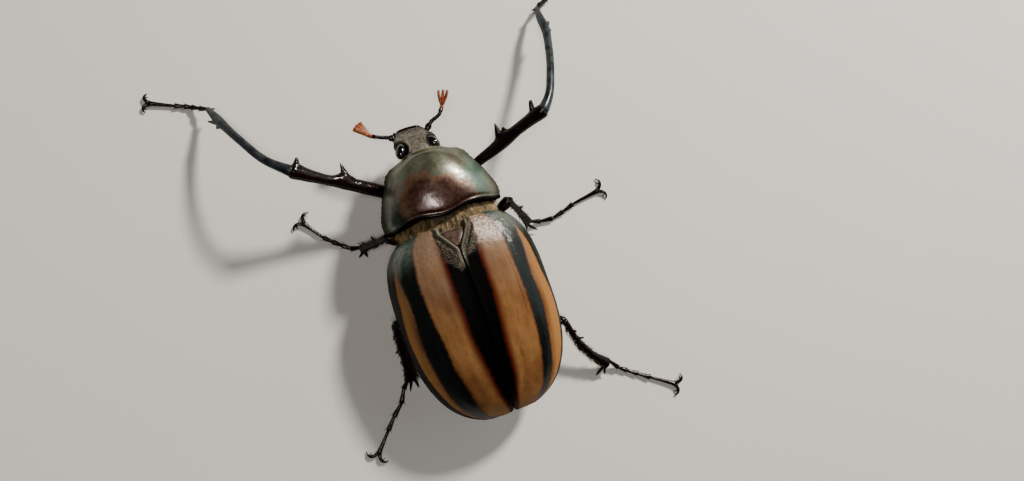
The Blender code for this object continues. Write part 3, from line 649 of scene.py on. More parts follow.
@dataclass(frozen=True)
class ShellFinish:
    """Plain shell in two shades, with pits, fine grain and slow colour clouds."""

    name: str
    first: Colour
    second: Colour
    rough: tuple[float, float] = (0.12, 0.26)
    metallic: float = 0.0
    cloud: float = 2.0
    pit: float = 0.4
    pit_depth: float = 0.015
    grain: float = 0.01
    wave: float = 0.05
    coat: float = 0.0
    shine: float = 0.16
    gloss: float = 0.45
    # mask: a number painted on the piece that turns the colour towards third; the head uses it for painted shade
    mask: str = ""
    third: Colour = tint(7, 6, 7)

    def make(self) -> Material:
        """Lay down the nodes."""
        r = Recipe(self.name)
        colour = r.blend(r.spread(r.grain(self.cloud, 4, 0.55), 0.3, 0.7), self.first, self.second)
        if self.mask:
            colour = r.blend(r.value(self.mask), colour, self.third)
        rough = r.spread(r.grain(0.7, 3), 0.3, 0.7, *self.rough)
        normal = r.bump(r.spread(r.cells(self.pit), 0.05, 0.45), self.pit_depth)
        normal = r.bump(r.grain(0.1, 2), self.grain, normal)
        normal = r.bump(r.grain(1.3, 3), self.wave, normal)
        return r.finish(colour, rough, normal, Metallic=self.metallic, Coat_Weight=self.coat, Coat_Roughness=self.shine,
                        Coat_IOR=3.5, Specular_IOR_Level=self.gloss)


@dataclass(frozen=True)
class HairFinish:
    """Hair that is darker at its root, each one in its own shade."""

    name: str
    root: Colour
    tip: Colour
    pale: Colour
    sheen: float = 0.1

    def make(self) -> Material:
        """Lay down the nodes; the place along a hair and its shade are painted on it."""
        r = Recipe(self.name)
        colour = r.blend(r.spread(r.value("reach"), 0.0, 0.7), self.root, self.tip)
        colour = r.blend(r.sum("MULTIPLY", r.value("shade"), r.value("reach")), colour, self.pale)
        rough = r.spread(r.grain(0.4, 2), 0.3, 0.7, 0.38, 0.55)
        return r.finish(colour, rough, r.bump(r.grain(0.06, 1), 0.004), Sheen_Weight=self.sheen, Sheen_Roughness=0.4,
                        Specular_IOR_Level=0.1)


@dataclass(frozen=True)
class FloorFinish:
    """Pale matt studio floor."""

    light: Colour = tint(243, 243, 239)
    dark: Colour = tint(237, 237, 234)

    def make(self) -> Material:
        """Lay down the nodes."""
        r = Recipe("floor")
        colour = r.blend(r.grain(60.0, 3), self.dark, self.light)
        return r.finish(colour, 0.85, r.bump(r.grain(1.5, 2), 0.02))


FINISHES = (
    WingCaseFinish(),
    BronzeFinish(),
    ShellFinish("black_shell", tint(4, 3, 3), tint(26, 9, 7), pit=0.4, pit_depth=0.016, grain=0.006, wave=0.1,
                coat=0.1, gloss=0.0),
    ShellFinish("steel_shell", tint(30, 33, 37), tint(68, 74, 80), (0.36, 0.46), 0.5, pit=0.45, pit_depth=0.006,
                grain=0.004, wave=0.02, coat=0.05, gloss=0.0),
    # the grey head's mask "dark" is painted shade: temples, cheeks, eye sockets and notches
    ShellFinish("grey_shell", tint(56, 53, 51), tint(118, 111, 99), (0.34, 0.44), 0.2, cloud=0.6, pit=0.15,
                pit_depth=0.03, grain=0.015, gloss=0.3, mask="dark"),
    ShellFinish("purple_shell", tint(60, 44, 42), tint(98, 78, 68), (0.28, 0.4), cloud=0.8, pit_depth=0.008,
                coat=0.14, shine=0.28, gloss=0.1),
    ShellFinish("brown_skin", tint(30, 20, 14), tint(64, 42, 24), (0.5, 0.7), pit=0.3, pit_depth=0.03),
    ShellFinish("eye", tint(6, 6, 8), tint(16, 15, 17), (0.05, 0.09), pit=0.09, pit_depth=0.001, grain=0.0,
                wave=0.0, coat=0.16, shine=0.05),
    ShellFinish("feeler_leaf_orange", tint(96, 38, 8), tint(160, 80, 20), (0.35, 0.5), cloud=0.7, pit=0.15,
                pit_depth=0.01),
    ShellFinish("feeler_leaf_brown", tint(78, 28, 10), tint(160, 76, 28), (0.35, 0.5), cloud=0.6, pit=0.15,
                pit_depth=0.01),
    HairFinish("golden_hair", tint(22, 13, 8), tint(108, 74, 34), tint(190, 152, 88)),
    HairFinish("collar_hair", tint(16, 12, 8), tint(96, 74, 44), tint(206, 182, 138)),
    HairFinish("dark_bristle", tint(10, 5, 4), tint(34, 15, 9), tint(78, 42, 22), 0.0),
)


class Coat:
    """Hairs gathered from several places and built as one mesh."""

    SIDES = 3
    STATIONS = (0.0, 0.55, 1.0)
    TAPER = 0.35             # how much thinner a hair is at its tip, before it closes in a point
    PATCH = 0.003            # size of one hair on the unwrap

    def __init__(self, name: str, seed: int) -> None:
        """Start an empty coat."""
        self.name = name
        self.rows: list[tuple[Vector, Vector, Vector, float, float, tuple[float, float], float]] = []
        self.draw = random.Random(seed)

    def grow(self, root: Vector, way: Vector, lean: Vector, length: float, radius: float,
             patch: tuple[float, float], tone: float | None = None) -> None:
        """Add one hair.

        Args:
            root: where it leaves the skin.
            way: direction in which it leaves.
            lean: offset of its tip from that line, as a share of its length.
            length, radius: its size.
            patch: place of its root on an unwrap of the skin, from 0 to 1.
            tone: how pale it is, from 0 to 1, or left to chance.
        """
        shade = self.draw.random() if tone is None else min(max(tone, 0.0), 1.0)
        self.rows.append((root, way.normalized(), lean, length, radius, patch, shade))

    def build(self, bench: Bench, finish: str) -> Piece | None:
        """Make the joined mesh of all hairs.

        Args:
            bench: the workbench.
            finish: name of the hair's finish.
        Returns:
            The coat, or None where it has no hair.
        """
        verts: list[Vector] = []
        faces: list[tuple[int, ...]] = []
        reach: list[float] = []
        shade: list[float] = []
        spots: list[tuple[float, float]] = []
        for root, way, lean, length, radius, patch, tone in self.rows:
            side = way.orthogonal().normalized()
            other = way.cross(side)
            first = len(verts)
            for t in self.STATIONS:
                centre = root + way * (length * t) + lean * (length * t * t)
                width = radius * (1 - self.TAPER * t)
                count = 1 if t == 1.0 else self.SIDES
                for step in range(count):
                    angle = math.tau * step / self.SIDES
                    offset = side * math.cos(angle) + other * math.sin(angle)
                    verts.append(centre + offset * (0.0 if count == 1 else width))
                    reach.append(t)
                    shade.append(tone)
                    spots.append((patch[0] + self.PATCH * (step / 2 - 0.5), patch[1] + self.PATCH * (t - 0.5)))
            low, high, tip = first, first + self.SIDES, first + 2 * self.SIDES
            faces.append((low + 2, low + 1, low))
            for step in range(self.SIDES):
                after = (step + 1) % self.SIDES
                faces.append((low + step, low + after, high + after, high + step))
                faces.append((high + step, high + after, tip))
        if not verts:
            return None
        mesh = bpy.data.meshes.new(self.name)
        mesh.from_pydata(verts, [], faces)
        for name, values in (("reach", reach), ("shade", shade)):
            mesh.attributes.new(name, "FLOAT", "POINT").data.foreach_set("value", values)
        layer = mesh.uv_layers.new(name="OFBake")
        flat = np.array(spots, dtype=np.float32)
        corners = np.zeros(len(mesh.loops), dtype=np.int32)
        mesh.loops.foreach_get("vertex_index", corners)
        layer.data.foreach_set("uv", np.clip(flat[corners], 0.001, 0.999).ravel())
        return bench.set_down(put(self.name, mesh), finish, crease=80.0)


@dataclass
class WingCases:
    """The two striped wing cases, each a fine shell from the seam to the side margin."""

    base_y: float = -4.0
    apex_y: float = 35.1
    half_width: float = 15.5
    widest_y: float = 14.0
    rear_reach: float = 21.6
    front_reach: float = 19.0
    height: float = 10.2
    highest_y: float = 10.0
    rear_fall: float = 25.6
    margin_z: float = 10.4
    margin_fall: float = 0.05
    power: float = 2.2       # boxiness of the cross-section
    seam: float = 0.035
    notch: float = 2.5
    notch_front_y: float = -2.5
    notch_tip_y: float = 1.3
    # along the body, then where each stripe ends, as a share of the way from the seam to the margin:
    # dark seam stripe, tan stripe, dark side stripe, outer tan stripe
    stripes_left: Table = (
        (-4.0, 0.16, 0.46, 0.70, 0.70), (0.1, 0.15, 0.43, 0.67, 0.685), (2.0, 0.147, 0.418, 0.633, 0.70),
        (4.9, 0.147, 0.42, 0.59, 0.705), (8.0, 0.143, 0.41, 0.56, 0.715), (10.5, 0.143, 0.405, 0.56, 0.735),
        (13.4, 0.137, 0.395, 0.572, 0.77), (16.3, 0.138, 0.38, 0.58, 0.77), (19.2, 0.133, 0.372, 0.58, 0.755),
        (22.1, 0.123, 0.376, 0.572, 0.743), (25.0, 0.11, 0.365, 0.577, 0.725), (28.1, 0.10, 0.36, 0.587, 0.715),
        (31.1, 0.085, 0.39, 0.61, 0.715), (33.6, 0.06, 0.44, 0.62, 0.70), (35.2, 0.06, 0.50, 0.64, 0.68),
    )
    stripes_right: Table = (
        (-4.0, 0.15, 0.46, 0.64, 0.64), (0.1, 0.145, 0.41, 0.62, 0.63), (2.0, 0.14, 0.40, 0.59, 0.655),
        (4.9, 0.133, 0.393, 0.557, 0.675), (8.0, 0.127, 0.39, 0.527, 0.685), (10.5, 0.127, 0.393, 0.515, 0.70),
        (13.4, 0.117, 0.398, 0.53, 0.74), (16.3, 0.105, 0.393, 0.53, 0.77), (19.2, 0.097, 0.393, 0.52, 0.773),
        (22.1, 0.09, 0.393, 0.512, 0.765), (25.0, 0.09, 0.393, 0.513, 0.76), (28.1, 0.087, 0.397, 0.53, 0.745),
        (31.3, 0.067, 0.427, 0.55, 0.72), (33.6, 0.055, 0.47, 0.60, 0.70), (35.2, 0.06, 0.53, 0.62, 0.68),
    )
    costae: tuple[float, ...] = (0.13, 0.22, 0.33, 0.46, 0.60)
    across: int = 30
    rows: int = 48

    def __post_init__(self) -> None:
        """Sample the stripes' edges."""
        self.stripes = {Side.LEFT: Profile(self.stripes_left), Side.RIGHT: Profile(self.stripes_right)}

    def edges(self, point: Vector) -> tuple[float, ...]:
        """Where each stripe ends at a point's place along the body, for its side."""
        return self.stripes[Side.LEFT if point.x > 0 else Side.RIGHT](point.y)

    def width_at(self, y: float) -> float:
        """Half-width of the closed pair at a place along the body."""
        if y > self.widest_y:
            return self.half_width * bulge(y - self.widest_y, self.rear_reach, 2.5)
        return self.half_width * bulge(y - self.widest_y, self.front_reach, 3.5)

    def height_at(self, y: float) -> float:
        """Height of the back above the margin."""
        reach = self.rear_fall if y > self.highest_y else self.front_reach
        return self.height * bulge(y - self.highest_y, reach, 2.1)

    def margin_at(self, y: float) -> float:
        """Height of the side margin."""
        return self.margin_z - self.margin_fall * (y - self.base_y)

    def inner_at(self, y: float) -> float:
        """How far the inner edge stands off the middle, wider beside the scutellum and at the very tip."""
        share = (self.notch_tip_y - y) / (self.notch_tip_y - self.notch_front_y)
        return self.seam + self.notch * min(max(share, 0.0), 1.0) + 0.5 * ease(34.0, 35.1, y) ** 2

    def share(self, point: Vector) -> float:
        """Share of the way from the seam to the margin at a point of the shell."""
        y = min(max(point.y, self.base_y), self.apex_y - 0.1)
        x = abs(point.x) / self.width_at(y)
        z = max(0.0, point.z - self.margin_at(y)) / self.height_at(y)
        return 1.0 - math.atan2(z, x) / (math.pi / 2)

    def arc(self, y: float) -> float:
        """Length over the back from the seam to the margin, about."""
        return 0.87 * (self.width_at(y) + self.height_at(y))

    def in_tan(self, point: Vector) -> float:
        """Distance in millimetres inside the nearer tan stripe, below 0 outside both."""
        y = min(max(point.y, self.base_y), self.apex_y)
        q = self.share(point)
        seam, inner, side, outer = self.edges(point)
        return max(min(q - seam, inner - q), min(q - side, outer - q)) * self.arc(y)

    def build_side(self, bench: Bench, side: Side) -> Piece:
        """Shell of one side, from the seam wall over the back to the turned-in rim.

        Args:
            bench: the workbench.
            side: which wing case.
        Returns:
            The shell in millimetres.
        """
        edge = (0.0, 0.012, 0.03, 0.055, 0.085)
        shares = [*edge, *np.linspace(0.12, 0.88, self.across), *(1 - value for value in reversed(edge))]
        places = [self.base_y + (self.apex_y - self.base_y) * (1 - math.cos(math.pi * i / (self.rows - 1))) / 2
                  for i in range(self.rows)]
        base, tip = places[0], self.apex_y
        rows = [(base, 0.55), (base, 0.86), (base, 0.965), (base + 0.12, 0.992)]
        rows += [(y, 1.0) for y in places[2:-3]]
        rows += [(places[-3], 0.985), (tip - 0.35, 0.95), (tip - 0.1, 0.86), (tip, 0.66), (tip + 0.03, 0.3)]
        rings = []
        for y, scale in rows:
            at = min(y, tip - 0.3)
            width, height, margin = self.width_at(at), self.height_at(at), self.margin_at(at)
            inner = self.inner_at(y)
            start = math.acos(min(1.0, inner / width)) if inner < width else 0.0
            low = margin + 0.1
            ring = [(inner, low), (inner, margin + height * 0.5)]
            for q in shares:
                x, z = rounded(start * (1 - q), width, height, self.power)
                ring.append((max(x, inner), margin + z))
            ring += [(width - 0.12, margin - 0.2), (width - 0.75, margin - 0.24), (width - 1.3, low)]
            ring.append(((width + inner) / 2, low))
            centre = Vector(((width + inner) / 2, 0.0, margin + height * 0.42))
            points = []
            for x, z in ring:
                x = centre.x + (x - centre.x) * scale
                z = centre.z + (z - centre.z) * scale
                points.append(Vector((side.value * x, y, z)))
            rings.append(points)
        item = bench.loft(f"wing_case_{side.word}", rings, 2)
        bench.shift(item, self.relief)
        return item

    def relief(self, point: Vector, normal: Vector) -> float:
        """Height of the beads, ribs and wrinkles worked into the shell."""
        y = point.y
        q = self.share(point)
        arc = self.arc(min(max(y, self.base_y), self.apex_y - 0.3))
        off_seam = abs(point.x) - self.inner_at(y)
        lift = 0.0
        if normal.z > 0.1 and y > -3.6:
            lift += 0.1 * ridge(off_seam - 0.2, 0.2) - 0.06 * ridge(off_seam - 0.7, 0.25)
            beside = 1.0 - ease(0.5, 2.6, y)
            lift += beside * (0.34 * ridge(off_seam - 0.4, 0.34) - 0.12 * ridge(off_seam - 1.2, 0.4))
        off_margin = (1.0 - q) * arc
        lift += 0.14 * ridge(off_margin - 0.35, 0.3) - 0.12 * ridge(off_margin - 1.1, 0.4)
        fade = ease(1.0, 6.0, y) * (1.0 - ease(28.0, 33.0, y))
        for place in self.costae:
            lift += fade * 0.04 * ridge((q - place) * arc, 0.5)
        front = 1.0 - ease(0.0, 7.0, y)
        side = ease(0.4, 0.62, q)
        lift += (0.03 + 0.08 * front * (0.3 + side)) * ripple((point.x, point.y * 0.6, point.z), 1.3, 3.0)
        lift += 0.06 * front * ripple((point.x, point.y * 1.8, point.z), 0.75, 7.0)
        return lift

    def dress(self, bench: Bench, item: Piece) -> None:
        """Paint the distances that the finish turns into stripes, shoulders, patch and rim."""
        rules = {
            "tan": self.in_tan,
            "shoulder": self.shoulder,
            "inner": lambda p: self.share(p) - self.edges(p)[0],
            "patch": self.patch,
            "lit_seam_bead": self.lit_seam_bead,
            # front: how strongly the painted paler sheen shows, towards the front
            "front": lambda p: 1.0 - ease(-3.0, 17.0, p.y + 3.0 * ripple(p, 3.0, 2.0)),
            "side": lambda p: ease(0.02, 0.1, self.share(p) - self.edges(p)[2]),
            "rim": lambda p: 1.0 - ease(0.45, 0.8, (1 - self.share(p)) * self.arc(min(p.y, 34.0))),
            "coarse": lambda p: max(self.patch(p), 1.0 - ease(-3.0, 4.5, p.y)),
        }
        for name, rule in rules.items():
            bench.paint(item, name, rule)

    def shoulder(self, point: Vector) -> float:
        """Strength of the teal gloss on the shoulders, fading along the dark side stripe."""
        q = self.share(point)
        band = ease(0.36, 0.46, q) * (1.0 - 0.8 * ease(0.7, 0.85, q))
        return band * (1.0 - ease(-3.0, 3.4, point.y + 0.8 * ripple(point, 1.5, 9.0)) * 0.95)

    def lit_seam_bead(self, point: Vector) -> float:
        """Strength of the bead beside the scutellum: glossier, with a painted silvery highlight that is stronger on the
        left, where the bead faces the light.
        """
        off_seam = abs(point.x) - self.inner_at(point.y)
        strength = (0.9 if point.x > 0 else 0.3) * (1.0 - ease(3.2, 5.2, point.y))
        return strength * ridge(off_seam - 0.4, 0.34 - 0.14 * ease(0.9, 2.6, point.y))

    def patch(self, point: Vector) -> float:
        """Strength of the bronze patch round the scutellum."""
        reach = math.hypot(point.x / 4.5, (point.y + 1.5) / (7.0 if point.x > 0 else 5.6))
        return 1.0 - ease(0.78, 1.0, reach + 0.2 * ripple(point, 1.3, 5.0))

    def build(self, bench: Bench) -> None:
        """Build and dress both wing cases."""
        for side in Side:
            item = self.build_side(bench, side)
            self.dress(bench, item)
            bench.set_down(item, "wing_case", [f"elytron_{side.word}"])


@dataclass
class Scutellum:
    """Small three-cornered plate between the roots of the wing cases."""

    stations: Table = ((-2.75, 2.25, 17.35), (-2.6, 2.38, 17.75), (-1.9, 2.2, 18.25), (-1.0, 1.72, 18.75),
                       (-0.1, 1.05, 19.0), (0.4, 0.5, 19.05), (0.62, 0.2, 19.0))
    depth: float = 1.4

    def build(self, bench: Bench) -> None:
        """Build the plate, raised a little in its middle."""
        rings = []
        for y, width, top in self.stations:
            ring = []
            for step in range(9):
                x = width * (1 - step / 4)
                drop = 0.28 * (abs(x) / max(width, 0.01)) ** 3
                ring.append(Vector((x, y, top - drop)))
            ring += [Vector((-width * 0.9, y, top - self.depth)), Vector((width * 0.9, y, top - self.depth))]
            rings.append(ring)
        item = bench.loft("scutellum_plate", rings, 2)
        bench.set_down(item, "purple_shell", ["scutellum"])


@dataclass
class Pronotum:
    """Domed shield over the front of the body, with beaded edges."""

    outline: Table = ((-19.3, 4.9), (-18.2, 6.9), (-15.0, 9.1), (-11.0, 11.0), (-7.2, 12.0), (-5.6, 11.6))
    front_y: float = -19.3
    rear_y: float = PRONOTUM_REAR_Y
    margin_z: float = 11.2
    height: float = 7.9
    highest_y: float = -9.5
    front_fall: float = 12.0
    rear_fall: float = 6.4
    rear_power: float = 2.8
    front_power: float = 2.1
    power: float = 2.1       # boxiness of the cross-section
    wave: float = 0.45
    wave_length: float = 11.5
    rows: int = 34
    across: int = 50

    def __post_init__(self) -> None:
        """Sample the outline."""
        self.side = Profile(self.outline)

    def width_at(self, y: float) -> float:
        """Half-width at a place along the body."""
        return self.side(y)[0]

    def height_at(self, y: float) -> float:
        """Height of the back above the margin."""
        if y > self.highest_y:
            return self.height * bulge(y - self.highest_y, self.rear_fall, self.rear_power)
        return self.height * bulge(y - self.highest_y, self.front_fall, self.front_power)

    def wave_at(self, x: float, y: float) -> float:
        """How far the rear edge is waved forward, and the front corners drawn back, at a point."""
        share = min(max(0.0, (y - self.front_y) / (self.rear_y - self.front_y)), 1.0)
        rear = self.wave * share**4 * (math.cos(math.tau * x / self.wave_length) - 1)
        return rear + 0.75 * (1 - share) ** 6 * min(1.0, abs(x) / 4.9) ** 2

    def build(self, bench: Bench) -> None:
        """Build, work and dress the shield."""
        length = self.rear_y - self.front_y
        places = [self.front_y + length * (1 - math.cos(math.pi * i / (self.rows - 1))) / 2 for i in range(self.rows)]
        rows = [(self.front_y, 0.6), (self.front_y, 0.9), (self.front_y + 0.05, 0.985)]
        rows += [(y, 1.0) for y in places[2:-2]]
        rows += [(self.rear_y - 0.12, 0.985), (self.rear_y, 0.94), (self.rear_y, 0.6)]
        rings = []
        for y, scale in rows:
            width, height = self.width_at(y), self.height_at(y)
            centre = self.margin_z + height * 0.4
            ring = []
            flat = [rounded(math.pi * step / self.across, width, height, self.power)
                    for step in range(self.across + 1)]
            flat += [(-width + 0.15, -0.16), (-width + 0.9, -0.2), (-width * 0.5, -0.05), (0.0, 0.0),
                     (width * 0.5, -0.05), (width - 0.9, -0.2), (width - 0.15, -0.16)]
            for x, z in flat:
                z = self.margin_z + z
                ring.append(Vector((x * scale, y + self.wave_at(x, y), centre + (z - centre) * scale)))
            rings.append(ring)
        item = bench.loft("pronotum_shield", rings, 2)
        bench.shift(item, self.relief)
        for name, rule in (("middle", self.middle), ("sheen", self.sheen), ("shade", self.shade),
                           ("bead", self.bead), ("flank", self.flank), ("rim", self.rim)):
            bench.paint(item, name, rule)
        bench.set_down(item, "bronze_shell", ["pronotum"])

    def edges(self, point: Vector) -> tuple[float, float, float]:
        """Distances in millimetres from the side margin, the rear edge and the front edge."""
        y = min(max(point.y, self.front_y), self.rear_y)
        x = abs(point.x) / self.width_at(y)
        z = max(0.0, point.z - self.margin_z) / max(self.height_at(y), 0.1)
        angle = math.atan2(z, x)
        rear = self.rear_y + self.wave_at(point.x, self.rear_y) - point.y
        return angle * (self.height_at(y) + 2.0), rear, point.y - self.front_y

    def relief(self, point: Vector, normal: Vector) -> float:
        """Height of the beads, saw-edged sides and soft unevenness."""
        margin, rear, front = self.edges(point)
        lift = 0.15 * ridge(margin - 0.3, 0.26) - 0.12 * ridge(margin - 0.95, 0.3)
        if margin < 0.9:
            saw = 0.5 + 0.5 * math.sin(point.y * 7.0)
            lift += 0.11 * saw * ridge(margin - 0.15, 0.3) * ease(-18.9, -17.5, point.y)
        if normal.z > 0.0:
            lift += 0.16 * ridge(rear - 0.3, 0.22) - 0.14 * ridge(rear - 0.85, 0.28)
            lift += 0.08 * ridge(front - 0.2, 0.16) - 0.07 * ridge(front - 0.6, 0.25)
            lift += 0.03 * ripple(point, 2.2, 1.0) + 0.012 * ripple(point, 0.8, 2.0)
        return lift

    def middle(self, point: Vector) -> float:
        """Strength of the maroon colour in the middle."""
        x, y = point.x - 0.75, point.y + 9.3
        across = 0.94 * x - 0.342 * y
        reach = math.hypot(across / 7.0, (0.342 * x + 0.94 * y) / 4.9)
        parting = 0.3 * ridge(across - 0.3, 1.0) * ease(-8.6, -11.5, point.y)
        spots = 0.2 * ripple(point, 2.4, 4.0) + 0.12 * ripple(point, 0.9, 4.0)
        return 1.0 - ease(0.55, 1.25, reach + parting + spots)

    def sheen(self, point: Vector) -> float:
        """Strength of the teal sheen on the right side and the left rear corner."""
        right = math.hypot((point.x + 8.2) / 2.6, (point.y + 11.5) / 4.6)
        left = math.hypot((point.x - 10.0) / 1.6, (point.y + 7.2) / 1.6)
        return max(1.0 - ease(0.2, 1.2, right), 0.5 * (1.0 - ease(0.2, 1.1, left)))

    def shade(self, point: Vector) -> float:
        """Strength of the painted shade: darker olive at the left rear and, less, all along the flanks' lower edges."""
        reach = math.hypot((point.x - 9.6) / 3.8, (point.y + 8.0) / 4.4)
        low = 0.6 * (1.0 - ease(1.0, 3.6, self.edges(point)[0]))
        return max(low, 1.0 - ease(0.3, 1.2, reach + 0.2 * ripple(point, 2.0, 8.0)))

    def bead(self, point: Vector) -> float:
        """Strength of the black colour of the side and rear beads."""
        margin, rear, _ = self.edges(point)
        if point.z < self.margin_z:
            return 1.0
        return max(1.0 - ease(0.4, 0.75, margin), 1.0 - ease(0.45, 0.75, rear))

    def flank(self, point: Vector) -> float:
        """Strength of the duller gloss near the side margins."""
        return 1.0 - ease(2.0, 7.0, self.edges(point)[0])

    def rim(self, point: Vector) -> float:
        """Strength of the pale line along the front edge."""
        return (1 - ease(0.12, 0.4, point.y - self.front_y)) * float(point.z > 12.0)


@dataclass
class Underbody:
    """Furry thorax and ringed belly under the shields."""

    belly: Table = ((-19.0, 7.4), (-16.0, 5.6), (-12.0, 4.8), (-6.0, 4.8), (2.0, 3.9), (8.0, 3.6),
                    (14.0, 3.7), (22.0, 4.1), (29.0, 4.9), (32.4, 5.4), (33.8, 6.4), (34.8, 7.9))
    inset: float = 1.0
    split_y: float = 13.6
    rings_y: tuple[float, ...] = (15.6, 19.4, 23.0, 26.4, 29.4, 32.3)
    step: float = 0.45
    tip_width: float = 3.6
    waist_z: float = 11.6
    waist_width: float = 9.6
    waist_rise: float = 4.9
    sides: int = 24
    wings: WingCases = field(default_factory=WingCases)
    shield: Pronotum = field(default_factory=Pronotum)

    def __post_init__(self) -> None:
        """Sample the keel line."""
        self.keel = Profile(self.belly)

    def belly_z(self, y: float) -> float:
        """Height of the underside at a place along the body."""
        return self.keel(y)[0]

    def spot(self, y: float, angle: float) -> Vector:
        """Point of the underside at a place along the body and an angle, from 0 left to pi right."""
        if y < self.shield.rear_y:
            width, top = self.shield.width_at(y) - self.inset, self.shield.margin_z - GAP
        else:
            width = max(self.wings.width_at(y) - self.inset, self.tip_width)
            top = self.wings.margin_at(y) - GAP
        x, z = rounded(-angle, width, top - self.belly_z(y), 1.8)
        return Vector((x, y, top + z))

    def trough(self, y: float, drop: float = 0.0, scale: float = 1.0) -> Ring:
        """Ring of the underbody: flat above and a rounded keel below."""
        ring = [self.spot(y, math.pi * step / self.sides) for step in range(self.sides + 1)]
        top = ring[0].z
        for point in ring:
            depth = (top - point.z) / max(0.1, top - self.belly_z(y))
            point.z -= drop * depth
            point.x *= scale
            point.z = top + (point.z - top) * scale
        return ring

    def build(self, bench: Bench) -> None:
        """Build the five lengths of the underbody."""
        start, end = self.shield.front_y + 0.35, self.shield.rear_y
        stations = [(start, 0.0, 0.7), (start + 0.1, 0.0, 0.93)]
        stations += [(y,) for y in np.linspace(start + 0.6, end - 0.5, 11)]
        stations += [(end - 0.1, 0.0, 0.95), (end, 0.0, 0.7)]
        self.lay(bench, "prothorax_skin", stations, "brown_skin", "prothorax")

        waist = bench.join("mesothorax_skin", [self.waist(bench), self.bridge(bench)])
        bench.set_down(waist, "brown_skin", ["mesothorax"])

        start, end = self.wings.base_y + 0.02, self.split_y - 0.1
        stations = [(start, 0.0, 0.8), (start + 0.15, 0.0, 0.96)]
        stations += [(y,) for y in np.linspace(start + 0.8, end - 0.6, 14)]
        stations += [(end - 0.1, 0.0, 0.985), (end, 0.0, 0.9)]
        self.lay(bench, "metathorax_skin", stations, "brown_skin", "metathorax")

        stations = [(self.split_y + 0.1, 0.0, 0.9)]
        before = self.split_y
        for mark in self.rings_y:
            for share in (0.06, 0.3, 0.6, 0.85, 0.96):
                stations.append((before + (mark - before) * share, self.step * (share**1.5)))
            before = mark
        stations.append((before + 0.05, 0.0, 0.96))
        self.lay(bench, "abdomen_rings", stations, "black_shell", "abdomen")

        stations = [(self.rings_y[-1] - 0.3, -0.3, 0.85), (self.rings_y[-1] + 0.1, -0.1, 0.95)]
        stations += [(32.9,), (33.4,), (33.9,), (34.3,), (34.6, 0.0, 0.95), (34.78, 0.0, 0.75), (34.82, 0.0, 0.4)]
        self.lay(bench, "pygidium_plate", stations, "black_shell", "pygidium")

    def lay(self, bench: Bench, name: str, stations: Table, finish: str, node: str) -> None:
        """Build one length of the underbody from its rings and set it down.

        Args:
            bench: the workbench.
            name: name of the piece.
            stations: rows of (place, drop, scale) for the rings.
            finish: name of its finish.
            node: the solid that it stands for.
        """
        item = bench.loft(name, [self.trough(*station) for station in stations], 1)
        bench.set_down(item, finish, [node])

    def waist(self, bench: Bench) -> Piece:
        """Oval ring between the shield and the wing cases."""
        rings = []
        for y, scale in ((-6.7, 0.9), (-6.5, 1.0), (-5.2, 1.0), (-4.3, 1.0), (-4.1, 0.9)):
            ring = []
            for step in range(32):
                angle = math.tau * step / 32
                depth = self.waist_rise if math.sin(angle) > 0 else self.waist_z - self.belly_z(y)
                x, z = rounded(angle, self.waist_width * scale, depth * scale, 2.1)
                ring.append(Vector((x, y, self.waist_z + z)))
            rings.append(ring)
        return bench.loft("mesothorax_skin", rings, 1)

    def bridge(self, bench: Bench) -> Piece:
        """Tongue that carries the hair in front of the scutellum."""
        rings = [[Vector((x, y, z)) for x, z in ((w, 14.6), (w, high - 0.3), (0, high), (-w, high - 0.3), (-w, 14.6))]
                 for y, w, high in ((-5.2, 2.1, 16.4), (-4.4, 2.3, 16.7), (-2.9, 2.2, 17.25))]
        return bench.loft("mesothorax_bridge", rings, 2)


